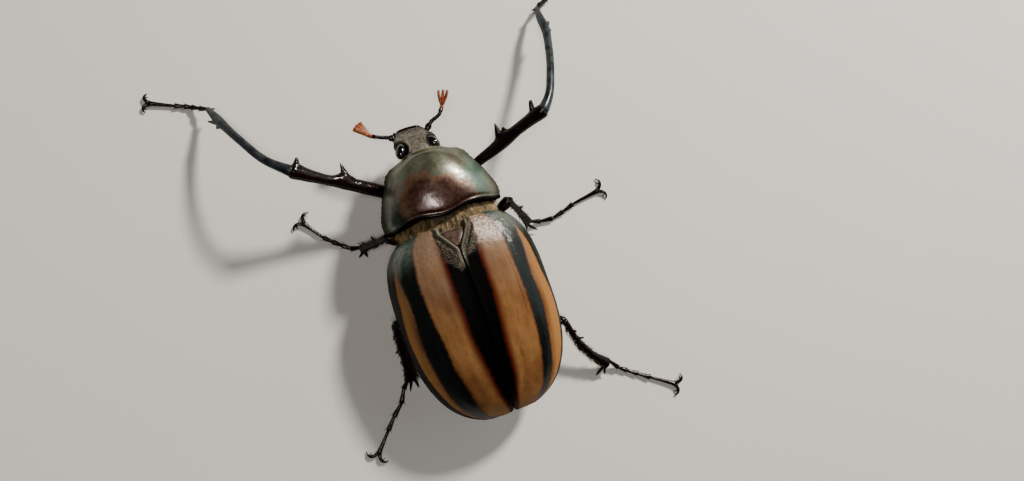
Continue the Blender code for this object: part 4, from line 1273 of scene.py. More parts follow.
@dataclass
class Head:
    """Pitted head with its raised front border, eyes, mouthparts and palps, all turned together."""

    # along the body, then the crown, the throat and the half-width
    stations: Table = (
        (-24.75, 10.35, 9.3, 2.25),
        (-24.4, 10.7, 8.6, 2.8),
        (-23.9, 11.2, 7.9, 3.15),
        (-23.3, 11.8, 7.5, 3.55),
        (-22.6, 12.4, 7.2, 3.85),
        (-22.0, 12.9, 7.1, 3.95),
        (-21.4, 13.35, 7.0, 3.6),
        (-20.8, 13.75, 7.1, 3.2),
        (-19.8, 14.15, 7.5, 3.2),
        (-18.6, 14.4, 8.0, 3.6),
    )
    crown: float = 1.0
    turn: float = math.radians(7.0)
    roll: float = math.radians(-12.0)
    slope: float = math.radians(40.0)
    pivot: Vector = field(default_factory=lambda: Vector((0.0, -19.6, 11.0)))
    offset: Vector = field(default_factory=lambda: Vector((0.65, 0.12, 0.0)))
    neck_y: float = -19.0
    power: float = 2.6
    eye_place: tuple[float, float, float] = (3.35, -20.6, 12.3)
    eye_radii: tuple[float, float, float] = (1.12, 1.75, 1.25)
    eye_turn: float = math.radians(28.0)
    eye_pitch: float = math.radians(24.0)
    mouth: Table = ((-24.0, 7.9, 6.4, 1.5), (-22.4, 7.4, 5.4, 1.9), (-20.4, 7.3, 5.6, 1.6))
    palp_route: Table = ((2.35, -22.0, 6.3), (2.7, -23.6, 6.6), (2.2, -25.3, 7.2))
    palp_radii: Table = ((0.0, 0.3, 0.3), (0.3, 0.34, 0.34), (0.36, 0.24, 0.24), (0.62, 0.36, 0.36),
                         (0.68, 0.24, 0.24), (0.9, 0.38, 0.36), (1.0, 0.2, 0.2))

    def matrix(self) -> Matrix:
        """Turn of the head to its left, with its left side raised a little."""
        slope = Matrix.Rotation(self.slope, 4, "X")
        roll = slope @ Matrix.Rotation(self.roll, 4, "Y") @ slope.inverted()
        turn = Matrix.Rotation(self.turn, 4, "Z")
        return Matrix.Translation(self.pivot + self.offset) @ turn @ roll @ Matrix.Translation(-self.pivot)

    def rings(self, stations: Table, sides: int, power: float) -> list[Ring]:
        """Rounded-box rings from (place along the body, top, bottom, half-width)."""
        rings = []
        for y, high, low, width in stations:
            crown = min(self.crown, (high - low) / 2)
            middle = high - crown
            ring = []
            for step in range(sides):
                angle = math.tau * step / sides
                rise = crown if math.sin(angle) > 0 else middle - low
                x, z = rounded(angle, width, rise, power)
                ring.append(Vector((x, y, middle + z)))
            rings.append(ring)
        return rings

    def edge(self, y: float, angle: float) -> Vector:
        """Point of the head's surface at a place along it and an angle from its left side upwards."""
        high, _, width = along(self.stations, y)
        x, z = rounded(angle, width, self.crown, self.power)
        return Vector((x, y, high - self.crown + z))

    def fit(self, bench: Bench, item: Piece) -> Piece:
        """Turn a piece with the head and cut it off at the neck."""
        item.data.transform(self.matrix())
        bench.edit(item)
        bpy.ops.mesh.select_all(action="SELECT")
        bpy.ops.mesh.bisect(plane_co=(0, self.neck_y, 0), plane_no=(0, 1, 0), use_fill=True, clear_outer=True)
        bpy.ops.object.mode_set(mode="OBJECT")
        return item

    def build(self, bench: Bench) -> None:
        """Build and dress the head's pieces."""
        places = np.linspace(self.stations[-1][0], self.stations[0][0], 21)
        stations = [(y, *along(self.stations, y)) for y in places]
        y, high, low, width = stations[-1]
        stations.append((y - 0.1, high - 0.25, low + 0.15, width * 0.9))
        skull = bench.loft("head_shell", self.rings(stations, 40, self.power), 2)
        bench.shift(skull, self.relief)
        border = [self.edge(y, 0.35) for y in (-23.75, -24.1, -24.45)]
        front = [Vector((x, -24.82 - 0.14 * (1 - (x / 2.1) ** 2), 10.12)) for x in (2.1, 1.1, 0.0, -1.1, -2.1)]
        route = [*border, *front, *(Vector((-p.x, p.y, p.z)) for p in reversed(border))]
        radii = ((0.0, 0.06, 0.08), (0.14, 0.14, 0.16), (0.24, 0.21, 0.24), (0.76, 0.21, 0.24), (0.86, 0.14, 0.16),
                 (1.0, 0.06, 0.08))
        rim = bench.limb("head_border", route, radii, 10, 40)
        canthi = []
        for side in Side:
            s = side.value
            ledge = ((s * 3.3, -23.0, 11.3), (s * 3.85, -22.3, 11.75), (s * 4.2, -21.6, 12.05),
                     (s * 4.35, -21.0, 12.25))
            radii = ((0.0, 0.2, 0.2), (0.4, 0.3, 0.24), (0.75, 0.24, 0.2), (1.0, 0.1, 0.1))
            canthi.append(bench.limb(f"canthus_{side.word}", ledge, radii, 12, 9))
        shell = bench.join("head_shell", [skull, *canthi])
        # painted shade on the head: temples, cheeks, eye sockets and notches, and a darker front
        bench.paint(shell, "dark", self.dark)
        for item, finish, nodes in ((shell, "grey_shell", ["head"]), (rim, "black_shell", [])):
            bench.set_down(self.fit(bench, item), finish, nodes)
        self.build_eyes(bench)
        self.build_mouth(bench)

    def relief(self, point: Vector, normal: Vector) -> float:
        """Soft unevenness of the brow, a shallow dip behind the front border, and the eyes' sockets."""
        lift = 0.05 * ripple(point, 1.1, 1.0) + 0.02 * ripple(point, 0.35, 2.0)
        if normal.z > 0.1:
            lift -= 0.12 * ridge(point.y + 23.9, 0.8) * math.exp(-(point.x / 2.0) ** 4)
            lift += 0.08 * ridge(point.y + 22.6, 0.45) * math.exp(-(point.x / 2.4) ** 4)
            lift -= 0.1 * ridge(point.y + 21.3, 0.8) * math.exp(-(point.x / 1.5) ** 4)
        x, y, _ = self.eye_place
        aside, ahead = abs(point.x) - x, point.y - y
        length = ahead * math.cos(self.eye_turn) + aside * math.sin(self.eye_turn)
        width = aside * math.cos(self.eye_turn) - ahead * math.sin(self.eye_turn)
        reach = math.hypot(length / self.eye_radii[1], width / self.eye_radii[0])
        if normal.z > -0.2:
            lift += 0.14 * ridge(reach - 1.2, 0.16) - 0.6 * (1.0 - ease(0.8, 1.08, reach))
        return lift

    def dark(self, point: Vector) -> float:
        """Strength of the painted shade: black on the temples behind the eyes, on the cheeks below the head's edge,
        round the eye sockets and in the notch before each eye, and, less, darker towards the front border.
        """
        blot = 0.25 * ripple(point, 0.8, 6.0)
        temple = ease(1.5, 2.2, abs(point.x) + blot) * ease(-20.9, -20.2, point.y + blot)
        cheek = 1.0 - ease(-0.9, -0.3, point.z - self.edge(point.y, 0.0).z)
        x, y, _ = self.eye_place
        socket = 1.0 - ease(1.8, 2.3, math.hypot(abs(point.x) - x - 0.5, (point.y - y - 0.3) * 0.8) + blot)
        notch = 0.8 * ridge(math.hypot(abs(point.x) - 2.9, point.y + 22.35), 0.45)
        return max(temple, cheek, socket, notch, 0.4 * (1.0 - ease(-24.3, -23.3, point.y + blot)))

    def build_eyes(self, bench: Bench) -> None:
        """Two glossy eyes, longer than wide, each started as a ball and stretched into an oval."""
        for side in Side:
            bench.clear()
            bpy.ops.mesh.primitive_uv_sphere_add(segments=40, ring_count=24, radius=1.0)
            eye = bpy.context.object
            eye.name = eye.data.name = f"eye_ball_{side.word}"
            bench.edit(eye)
            bpy.ops.mesh.select_all(action="SELECT")
            bpy.ops.transform.resize(value=self.eye_radii)
            bpy.ops.object.mode_set(mode="OBJECT")
            eye.data.transform(Matrix.Rotation(self.eye_pitch, 4, "X"))
            eye.data.transform(Matrix.Rotation(-side.value * self.eye_turn, 4, "Z"))
            x, y, z = self.eye_place
            eye.data.transform(Matrix.Translation((side.value * x, y, z)))
            eye.data.transform(self.matrix())
            bench.set_down(eye, "eye", [f"eye_{side.word}"])

    def build_mouth(self, bench: Bench) -> None:
        """Lower mouthparts with two jaw lobes, and the jointed palps."""
        places = np.linspace(self.mouth[-1][0], self.mouth[0][0], 7)
        stations = [(y, *along(self.mouth, y)) for y in places]
        stations.insert(0, (-20.3, 6.9, 5.9, 1.1))
        stations.append((-24.15, 7.6, 6.65, 1.0))
        pieces = [bench.loft("mouth_parts", self.rings(stations, 16, 2.4), 1)]
        for side in Side:
            s = side.value
            route = ((s * 1.5, -22.6, 7.1), (s * 1.75, -23.9, 7.4), (s * 1.0, -24.75, 7.9))
            radii = ((0.0, 0.6, 0.5), (0.6, 0.5, 0.42), (1.0, 0.2, 0.18))
            pieces.append(bench.limb(f"jaw_{side.word}", route, radii, 10, 7))
        mouth = bench.join("mouth_parts", pieces)
        bench.set_down(self.fit(bench, mouth), "black_shell", ["mouthparts"])
        for side in Side:
            route = [(side.value * x, y, z) for x, y, z in self.palp_route]
            palp = bench.limb(f"palp_stalk_{side.word}", route, self.palp_radii, 10, 22)
            bench.set_down(self.fit(bench, palp), "black_shell", [f"palp_{side.word}"])


@dataclass
class Feeler:
    """One antenna: a thick first joint, small bead joints and a fan of three leaves."""

    side: Side
    leaf: str
    route: Table
    bearings: tuple[float, ...]
    leaf_length: float = 3.4
    leaf_height: float = 1.3
    leaf_thickness: float = 0.66
    radii: Table = ((0.0, 0.4), (0.1, 0.62), (0.22, 0.7), (0.34, 0.4), (0.42, 0.5), (0.48, 0.36), (0.54, 0.5),
                    (0.6, 0.36), (0.66, 0.46), (0.71, 0.35), (0.77, 0.46), (0.82, 0.35), (0.9, 0.48), (1.0, 0.48))

    def build(self, bench: Bench) -> None:
        """Build and dress the stalk and the club."""
        word = self.side.word
        radii = [(place, radius, radius) for place, radius in self.radii]
        stalk = bench.limb(f"feeler_stalk_{word}", self.route, radii, 10, 44)
        bench.set_down(stalk, "black_shell", [f"feeler_{word}"])
        end, way = route_points(self.route, 9)[-1]
        root = end + way * 0.6
        ball = bench.limb("club_root", (end + way * 0.15, root), ((0.0, 0.42, 0.42), (1.0, 0.45, 0.5)), 10, 4)
        leaves = [ball]
        for index, bearing in enumerate(self.bearings):
            angle = math.radians(bearing)
            out = Vector((math.sin(angle), -math.cos(angle), -0.08 + 0.08 * index)).normalized()
            bend = Vector((out.y, -out.x, 0.0)) * (0.14 * (index - 1))
            rings = []
            shape = ((-0.02, 0.2), (0.02, 0.45), (0.15, 0.62), (0.35, 0.85), (0.6, 1.0), (0.8, 0.98), (0.93, 0.78),
                     (0.99, 0.5), (1.01, 0.2))
            for place, wide in shape:
                point = root + out * (self.leaf_length * place + 0.05 * index) + bend * (4.0 * place * (1.0 - place))
                thick = self.leaf_thickness / 2 * (0.45 + 0.55 * wide)
                rings.append(section(point, out, thick, self.leaf_height / 2 * wide, 12, 2.4))
            leaves.append(bench.loft("leaf", rings, 1))
        club = bench.join(f"club_fan_{word}", leaves)
        bench.set_down(club, self.leaf, [f"club_{word}"])


FEELERS = (
    Feeler(Side.LEFT, "feeler_leaf_orange",
           ((3.75, -23.55, 10.2), (4.9, -24.25, 9.9), (6.2, -24.8, 9.7), (7.75, -25.57, 9.5)),
           (17.0, 32.5, 48.0), leaf_thickness=1.12, leaf_height=0.7),
    Feeler(Side.RIGHT, "feeler_leaf_brown",
           ((-2.5, -23.1, 10.2), (-4.2, -24.6, 10.0), (-6.15, -25.45, 10.0), (-6.96, -26.45, 9.5)),
           (-8.0, -24.0, -38.0)),
)


@dataclass(frozen=True)
class LegSizes:
    """Route of one leg from the body to the claws, and how thick each length is."""

    coxa: tuple[float, float, float]
    femur: Table
    tibia: Table
    toes: Table
    coxa_radii: tuple[float, float]
    femur_radii: Table
    tibia_radii: Table
    spurs: Sequence[tuple]
    tibia_teeth: Sequence[tuple]
    femur_teeth: Sequence[tuple] = ()
    swells: Sequence[tuple] = ()
    foot_side: float = 0.0
    claw_scale: float = 1.0


FORE_FEMUR_LEFT = ((0.0, 1.2, 1.2), (0.35, 1.35, 1.3), (0.55, 1.25, 1.3), (0.72, 1.05, 1.1),
                   (0.88, 1.3, 1.3), (1.0, 1.5, 1.4))
FORE_FEMUR_RIGHT = ((0.0, 1.05, 1.1), (0.25, 1.05, 1.15), (0.42, 1.2, 1.25), (0.55, 1.35, 1.3),
                    (0.75, 1.2, 1.2), (0.9, 1.35, 1.3), (1.0, 1.5, 1.4))
# what the two legs of a pair share
FORE = {
    "coxa_radii": (2.0, 1.3),
    "tibia_radii": ((0.0, 1.2, 1.2), (0.1, 0.95, 0.95), (0.3, 0.84, 0.85), (0.6, 0.84, 0.85), (0.84, 0.92, 0.85),
                    (0.93, 0.7, 0.7), (1.0, 0.58, 0.6)),
    "claw_scale": 0.8,
}
MID = {
    "coxa_radii": (1.5, 1.1),
    "femur_radii": ((0.0, 1.0, 1.0), (0.5, 1.15, 1.1), (0.8, 1.02, 1.0), (0.92, 1.2, 1.15), (1.0, 1.2, 1.15)),
    "tibia_radii": ((0.0, 1.0, 1.0), (0.12, 0.7, 0.7), (0.3, 0.66, 0.62), (1.0, 0.95, 0.7)),
}
HIND = {
    "coxa_radii": (1.3, 1.15),
    "femur_radii": ((0.0, 1.15, 1.1), (0.45, 1.5, 1.2), (0.8, 1.1, 1.1), (1.0, 0.85, 0.9)),
    "tibia_radii": ((0.0, 0.72, 0.72), (0.2, 0.6, 0.6), (0.5, 0.74, 0.66), (0.78, 0.84, 0.7), (0.92, 1.1, 0.75),
                    (1.0, 1.35, 0.75)),
}

LEGS = {
    "fore_left": LegSizes(
        coxa=(0.8, -11.6, 5.0),
        femur=((5.2, -12.2, 5.9), (9.5, -14.7, 8.3), (15.1, -17.9, 11.0), (19.3, -20.1, 13.2), (24.5, -23.2, 16.0)),
        tibia=((24.5, -23.2, 16.0), (28.4, -26.8, 15.0), (31.7, -32.3, 12.4), (34.4, -37.6, 8.4), (36.4, -42.2, 3.5)),
        toes=((38.1, -43.3, 1.9), (39.6, -44.3, 0.7), (40.9, -45.0), (42.7, -45.7), (47.4, -47.8)),
        **FORE,
        femur_radii=FORE_FEMUR_LEFT,
        femur_teeth=(((15.6, -18.2, 11.3), (15.4, -22.4, 12.2), 1.15, 0.12),
                     ((23.0, -22.3, 15.2), (22.8, -25.4, 16.0), 0.75, 0.46)),
        swells=(((15.6, -18.2, 11.3), (0.0, -1.0, 0.25), 0.85, 1.7),
                ((22.9, -22.3, 15.2), (0.0, -1.0, 0.2), 0.35, 0.9)),
        tibia_teeth=(((35.6, -38.4, 7.4), (37.0, -39.3, 6.0), 0.75, 0.2),
                     ((34.4, -36.6, 8.8), (35.7, -37.1, 7.7), 0.6, 0.3)),
        spurs=((-0.2, 0.0, (35.1, -42.0, 3.4)),),
    ),
    "fore_right": LegSizes(
        coxa=(-0.8, -11.6, 5.0),
        femur=((-5.2, -12.2, 5.9), (-9.9, -13.9, 8.5), (-14.4, -15.3, 10.9), (-21.0, -17.6, 14.2),
               (-25.0, -18.7, 16.0)),
        tibia=((-25.0, -18.7, 16.0), (-27.1, -20.9, 15.3), (-29.6, -25.5, 13.3), (-32.0, -31.2, 10.0),
               (-33.4, -35.9, 7.3), (-33.65, -38.9, 5.2), (-34.2, -41.2, 3.1)),
        toes=((-35.6, -42.2, 1.9), (-37.6, -43.1), (-40.1, -44.4), (-42.6, -46.0), (-46.3, -48.3)),
        **FORE,
        femur_radii=FORE_FEMUR_RIGHT,
        femur_teeth=(((-16.1, -16.2, 11.6), (-15.75, -19.9, 12.0), 1.0, 0.14),
                     ((-23.6, -18.3, 15.2), (-23.3, -21.5, 15.8), 0.9, 0.5)),
        swells=(((-16.4, -16.2, 11.6), (0.05, -1.0, 0.1), 0.62, 1.35),
                ((-17.1, -16.5, 12.0), (0.05, -1.0, 0.1), 0.75, 0.46),
                ((-10.3, -14.0, 8.4), (0.0, -0.6, 0.8), 0.22, 0.32),
                ((-11.5, -14.4, 9.0), (0.0, -0.6, 0.8), 0.22, 0.32),
                ((-12.7, -14.8, 9.7), (0.0, -0.6, 0.8), 0.22, 0.32),
                ((-14.0, -15.3, 10.4), (0.0, -0.6, 0.8), 0.24, 0.34)),
        tibia_teeth=(((-33.5, -36.4, 6.8), (-35.0, -37.2, 5.9), 0.75, 0.2),
                     ((-33.1, -34.4, 7.9), (-34.4, -35.1, 7.2), 0.6, 0.35)),
        spurs=((0.1, 0.3, (-33.0, -41.2, 3.2)),),
    ),
    "mid_left": LegSizes(
        coxa=(0.9, 1.0, 4.3),
        femur=((3.6, 0.2, 4.9), (7.6, -2.8, 7.4), (11.9, -5.75, 9.3)),
        tibia=((11.9, -5.75, 9.3), (14.4, -5.7, 6.0), (17.3, -5.8, 2.0)),
        toes=((19.4, -6.5, 0.8), (20.8, -7.7), (22.4, -9.1), (23.9, -10.6), (26.7, -14.7)),
        **MID,
        tibia_teeth=(((14.4, -5.6, 5.9), (14.8, -7.2, 6.2), 0.35, 0.12),),
        spurs=((-0.62, 0.2, (16.8, -3.7, 1.0)), (-0.62, -0.2, (18.5, -4.2, 0.9))),
        foot_side=0.2,
    ),
    "mid_right": LegSizes(
        coxa=(-0.9, 1.0, 4.3),
        femur=((-3.6, 0.2, 4.9), (-8.8, -2.4, 7.5), (-13.5, -4.6, 9.3)),
        tibia=((-13.5, -4.6, 9.3), (-15.3, -2.1, 5.8), (-17.1, 0.7, 2.0)),
        toes=((-19.7, 1.4, 0.8), (-22.5, 1.7), (-25.2, 1.1), (-27.7, 0.3), (-34.0, -0.6)),
        **MID,
        tibia_teeth=(((-15.3, -2.1, 5.9), (-16.8, -2.8, 6.2), 0.35, 0.12),),
        spurs=((0.62, 0.2, (-16.4, 2.1, 1.0)), (0.66, -0.2, (-18.6, 3.0, 0.8))),
        foot_side=-0.2,
    ),
    "hind_left": LegSizes(
        coxa=(0.7, 12.2, 4.0),
        femur=((2.7, 12.2, 4.2), (9.4, 12.0, 6.2), (16.3, 11.0, 8.0)),
        tibia=((16.3, 11.0, 8.0), (16.7, 13.7, 6.5), (16.8, 18.3, 4.1), (17.1, 22.9, 2.0)),
        toes=((19.0, 24.2, 0.8), (20.5, 26.9), (22.8, 28.9), (24.9, 31.2), (28.3, 34.9)),
        **HIND,
        tibia_teeth=(((16.7, 13.2, 6.6), (17.8, 13.9, 6.4), 0.35, 0.12),
                     ((16.9, 16.0, 5.2), (18.2, 16.7, 4.8), 0.4, 0.12)),
        spurs=((-0.3, -0.2, (18.0, 25.3, 0.9)), (-0.8, 0.1, (16.1, 25.1, 1.2))),
        foot_side=0.75,
    ),
    "hind_right": LegSizes(
        coxa=(-0.7, 12.2, 4.0),
        femur=((-2.7, 12.6, 4.2), (-9.4, 17.8, 5.9), (-16.2, 22.3, 7.5)),
        tibia=((-16.2, 22.3, 7.5), (-16.8, 24.5, 6.6), (-17.9, 27.7, 5.2), (-19.8, 31.1, 3.7), (-22.5, 34.5, 2.0)),
        toes=((-24.8, 36.3, 0.8), (-26.4, 37.6), (-28.4, 39.1), (-30.7, 40.8), (-35.4, 44.1)),
        **HIND,
        tibia_teeth=(((-18.2, 26.8, 5.6), (-19.1, 27.1, 5.5), 0.35, 0.12),
                     ((-17.2, 24.8, 6.4), (-18.1, 25.3, 6.2), 0.3, 0.12)),
        spurs=((0.9, 0.1, (-19.7, 36.2, 0.9)), (0.3, -0.2, (-21.5, 36.7, 0.8))),
        foot_side=-0.8,
    ),
}


@dataclass
class Leg:
    """One leg: hip joint, thigh, shin, five-jointed foot and toothed claws."""

    STATIONS = 60            # places along a joint at which bristles can stand
    FRINGES = {"hind_left": 420, "hind_right": 190}    # long hairs on the inner side of each hind shin

    name: str
    sizes: LegSizes
    toe_shape: Table = ((-0.04, 0.24), (0.02, 0.36), (0.2, 0.37), (0.5, 0.44), (0.78, 0.54), (0.93, 0.58),
                        (1.0, 0.5), (1.02, 0.25))
    last_toe_shape: Table = ((-0.02, 0.2), (0.03, 0.33), (0.2, 0.34), (0.55, 0.38), (0.85, 0.5), (0.95, 0.56),
                             (0.99, 0.48), (1.005, 0.24))
    claw_marks: Table = ((-0.6, 0.0, 0.5, 0.34), (0.4, 0.45, 0.58, 0.4), (1.0, 1.1, 0.64, 0.34),
                         (1.05, 1.9, 0.48, 0.23), (0.5, 2.5, 0.27, 0.07))

    @property
    def fore(self) -> bool:
        """Whether this is a fore leg."""
        return self.name.startswith("fore")

    def teeth(self, bench: Bench, item: Piece, teeth: Sequence[tuple]) -> None:
        """Draw each tooth out of the joint's side; the last number of its row is how blunt it is."""
        for root, tip, radius, blunt in teeth:
            steps = [(share, blunt + (0.95 - blunt) * (1 - share) ** 0.8) for share in (0.22, 0.48, 0.74, 0.92)]
            steps.append((1.0 + 0.02 / (1 + 9 * blunt), blunt * 0.7))
            bench.draw_out(item, Vector(root), Vector(tip), radius, steps)

    def swell(self, point: Vector, normal: Vector) -> Vector:
        """Wide foot of each tooth and small bumps on the thigh, with slow unevenness."""
        move = normal * (0.05 * ripple(point, 1.4, 1.0) + 0.02 * ripple(point, 0.5, 2.0))
        for root, way, height, width in self.sizes.swells:
            way = Vector(way).normalized()
            away = point - Vector(root)
            ahead = away.dot(way)
            if ahead > 0.3:
                move += way * (height * ridge(away.cross(way).length, width) * (1.0 - ease(1.5, 3.2, ahead)))
        return move

    def build(self, bench: Bench, coat: Coat) -> None:
        """Build and dress the leg's pieces, and add its bristles to the coat."""
        sizes = self.sizes
        middle, hip = sizes.coxa_radii
        radii = ((0.0, middle * 0.8, middle * 0.8), (0.4, middle, middle), (1.0, hip, hip))
        coxa = bench.limb(f"hip_{self.name}", (sizes.coxa, sizes.femur[0]), radii, 14, 7)
        bench.set_down(coxa, "black_shell", [f"coxa_{self.name}"])

        femur = bench.limb(f"thigh_{self.name}", sizes.femur, sizes.femur_radii, 16, 20, 0, ends=(0.3, 0.35))
        self.teeth(bench, femur, sizes.femur_teeth)
        bench.soften(femur, 2)
        bench.shift(femur, self.swell)
        bench.set_down(femur, "black_shell", [f"femur_{self.name}"])

        tibia = bench.limb(f"shin_{self.name}", sizes.tibia, sizes.tibia_radii, 16, 22, 0, ends=(0.35, 0.4))
        self.teeth(bench, tibia, sizes.tibia_teeth)
        bench.soften(tibia, 2)
        bench.shift(tibia, self.shin_relief)
        tibia = bench.join(f"shin_{self.name}", [tibia, *self.spurs(bench)])
        bench.set_down(tibia, "steel_shell" if self.fore else "black_shell", [f"tibia_{self.name}"])
        self.build_foot(bench, coat)
        self.bristles(coat)

    def shin_relief(self, point: Vector, normal: Vector) -> float:
        """Slow unevenness of the shin, coarser on the middle and hind shins, which also get a finer layer."""
        coarse, fine = (0.02, 0.0) if self.fore else (0.07, 0.08)
        return coarse * ripple(point, 1.0, 1.0) + fine * ripple(point, 0.45, 3.0)

    def spurs(self, bench: Bench) -> list[Piece]:
        """Movable-looking spines at the shin's end."""
        ankle, way = route_points(self.sizes.tibia, 11)[-1]
        across = level_across(way)
        found = []
        for offset, rise, tip in self.sizes.spurs:
            root = ankle - way * 0.5 + across * offset + Vector((0, 0, rise))
            middle = (root + Vector(tip)) / 2 + Vector((0, 0, 0.12))
            radii = ((0.0, 0.38, 0.36), (0.5, 0.3, 0.28), (0.85, 0.17, 0.16), (1.0, 0.06, 0.06))
            found.append(bench.limb("spur", (root, middle, tip), radii, 8, 7))
        return found

    def foot_points(self) -> list[Vector]:
        """Ankle and the ends of the five toe joints."""
        ankle, way = route_points(self.sizes.tibia, 11)[-1]
        across = level_across(way)
        heel = ankle + way * 0.1 + across * self.sizes.foot_side
        toes = [Vector(toe if len(toe) == 3 else (*toe, TOE_Z)) for toe in self.sizes.toes]
        return [heel, *toes]

    def build_foot(self, bench: Bench, coat: Coat) -> None:
        """Build the five toe joints and the two claws."""
        points = self.foot_points()
        pieces = []
        for index, (start, end) in enumerate(zip(points, points[1:])):
            way = (end - start).normalized()
            shape = self.last_toe_shape if index == 4 else self.toe_shape
            rings = [section(start.lerp(end, place), way, radius, radius, 12) for place, radius in shape]
            pieces.append(bench.loft("toe", rings, 1))
            self.toe_bristles(coat, start, end, way)
        end, way = points[-1], (points[-1] - points[-2]).normalized()
        for side in Side:
            pieces += self.claw(bench, end, way, side)
        foot = bench.join(f"foot_{self.name}", pieces)
        bench.shift(foot, lambda p, n: Vector((0, 0, max(0.0, 0.02 - p.z))))
        bench.set_down(foot, "black_shell", [f"tarsus_{self.name}"])

    def claw(self, bench: Bench, end: Vector, way: Vector, side: Side) -> list[Piece]:
        """Hooked claw with a tooth on its inner side."""
        across = Vector((-way.y, way.x, 0.0)) * side.value
        scale = self.sizes.claw_scale
        route = []
        for ahead, aside, high, _ in self.claw_marks:
            spot = end + (way * ahead + across * aside) * scale
            route.append(Vector((spot.x, spot.y, high)))
        radii = [(index / 4, mark[3], mark[3] * 1.1) for index, mark in enumerate(self.claw_marks)]
        hook = bench.limb("claw", route, radii, 10, 14)
        tip = end + (way * 0.2 + across * 1.65) * scale
        middle = (route[2] * 0.6 + tip * 0.4) + way * 0.1
        tooth_route = (route[2], Vector((middle.x, middle.y, 0.5)), Vector((tip.x, tip.y, 0.28)))
        tooth = bench.limb("claw_tooth", tooth_route, ((0.0, 0.2, 0.22), (0.5, 0.15, 0.17), (1.0, 0.04, 0.04)), 8, 7)
        return [hook, tooth]

    def toe_bristles(self, coat: Coat, start: Vector, end: Vector, way: Vector) -> None:
        """A few stiff bristles round the end of one toe joint."""
        draw = coat.draw
        side = level_across(way)
        for angle in (0.3, 2.84, 3.6, 5.8):
            out = side * math.cos(angle) + UP * math.sin(angle)
            root = start.lerp(end, 0.9) + out * 0.46
            length = draw.uniform(0.5, 0.85)
            if root.z + out.z * length * 0.7 < 0.2:
                out.z = 0.15
            coat.grow(root, way + out * 0.9, way * 0.2, length, 0.035, self.patch(draw.random(), draw.random()))

    def patch(self, first: float, second: float) -> tuple[float, float]:
        """Place on the legs' unwrap: one band for each leg."""
        band = list(LEGS).index(self.name)
        return 0.01 + 0.98 * first, (band + 0.05 + 0.9 * second) / len(LEGS)

    def bristles(self, coat: Coat) -> None:
        """Rows of bristles along the middle and hind shins, short hairs on the thighs, and the hind shins' fringe."""
        draw = coat.draw
        if self.fore:
            return
        rows = [(self.sizes.tibia, self.sizes.tibia_radii, 90, 0.85),
                (self.sizes.femur, self.sizes.femur_radii, 50, 0.55)]
        if self.name in self.FRINGES:
            self.fringe(coat)
        for route, radii, count, size in rows:
            stations = route_points(route, self.STATIONS)
            for _ in range(count):
                index = draw.randrange(6, 58)
                point, way = stations[index]
                across, up = along(radii, index / (self.STATIONS - 1))
                side = level_across(way)
                rise = side.cross(way)
                angle = draw.choice((0.15, math.pi - 0.15, -0.7, math.pi + 0.7)) + draw.uniform(-0.3, 0.3)
                out = side * math.cos(angle) + rise * math.sin(angle)
                root = point + side * (across * 0.96 * math.cos(angle)) + rise * (up * 0.96 * math.sin(angle))
                length = size * draw.uniform(0.6, 1.2)
                if root.z - length < FLOOR_CLEARANCE:
                    continue
                patch = self.patch(index / self.STATIONS, (angle + 1.2) / 5.6)
                coat.grow(root, way * 0.9 + out * 0.8, way * 0.15, length, 0.042, patch)

    def fringe(self, coat: Coat) -> None:
        """Long dark hairs along the inner side of a hind shin, combed towards the foot."""
        draw = coat.draw
        stations = route_points(self.sizes.tibia, self.STATIONS)
        inward = -1 if self.name == "hind_left" else 1
        for _ in range(self.FRINGES[self.name]):
            index = draw.randrange(5, 54)
            point, way = stations[index]
            across = along(self.sizes.tibia_radii, index / (self.STATIONS - 1))[0]
            side = level_across(way) * inward
            root = point + side * (across * 0.85) + Vector((0, 0, draw.uniform(-0.3, 0.3)))
            length = draw.uniform(1.2, 2.4) * (1.0 if inward < 0 else 0.65)
            out = way * 1.1 + side * draw.uniform(0.4, 1.1) + Vector((0, 0, draw.uniform(0.1, 0.5)))
            if root.z + out.normalized().z * length > FLOOR_CLEARANCE:
                coat.grow(root, out, way * 0.2, length, 0.036, self.patch(index / self.STATIONS, draw.random()))


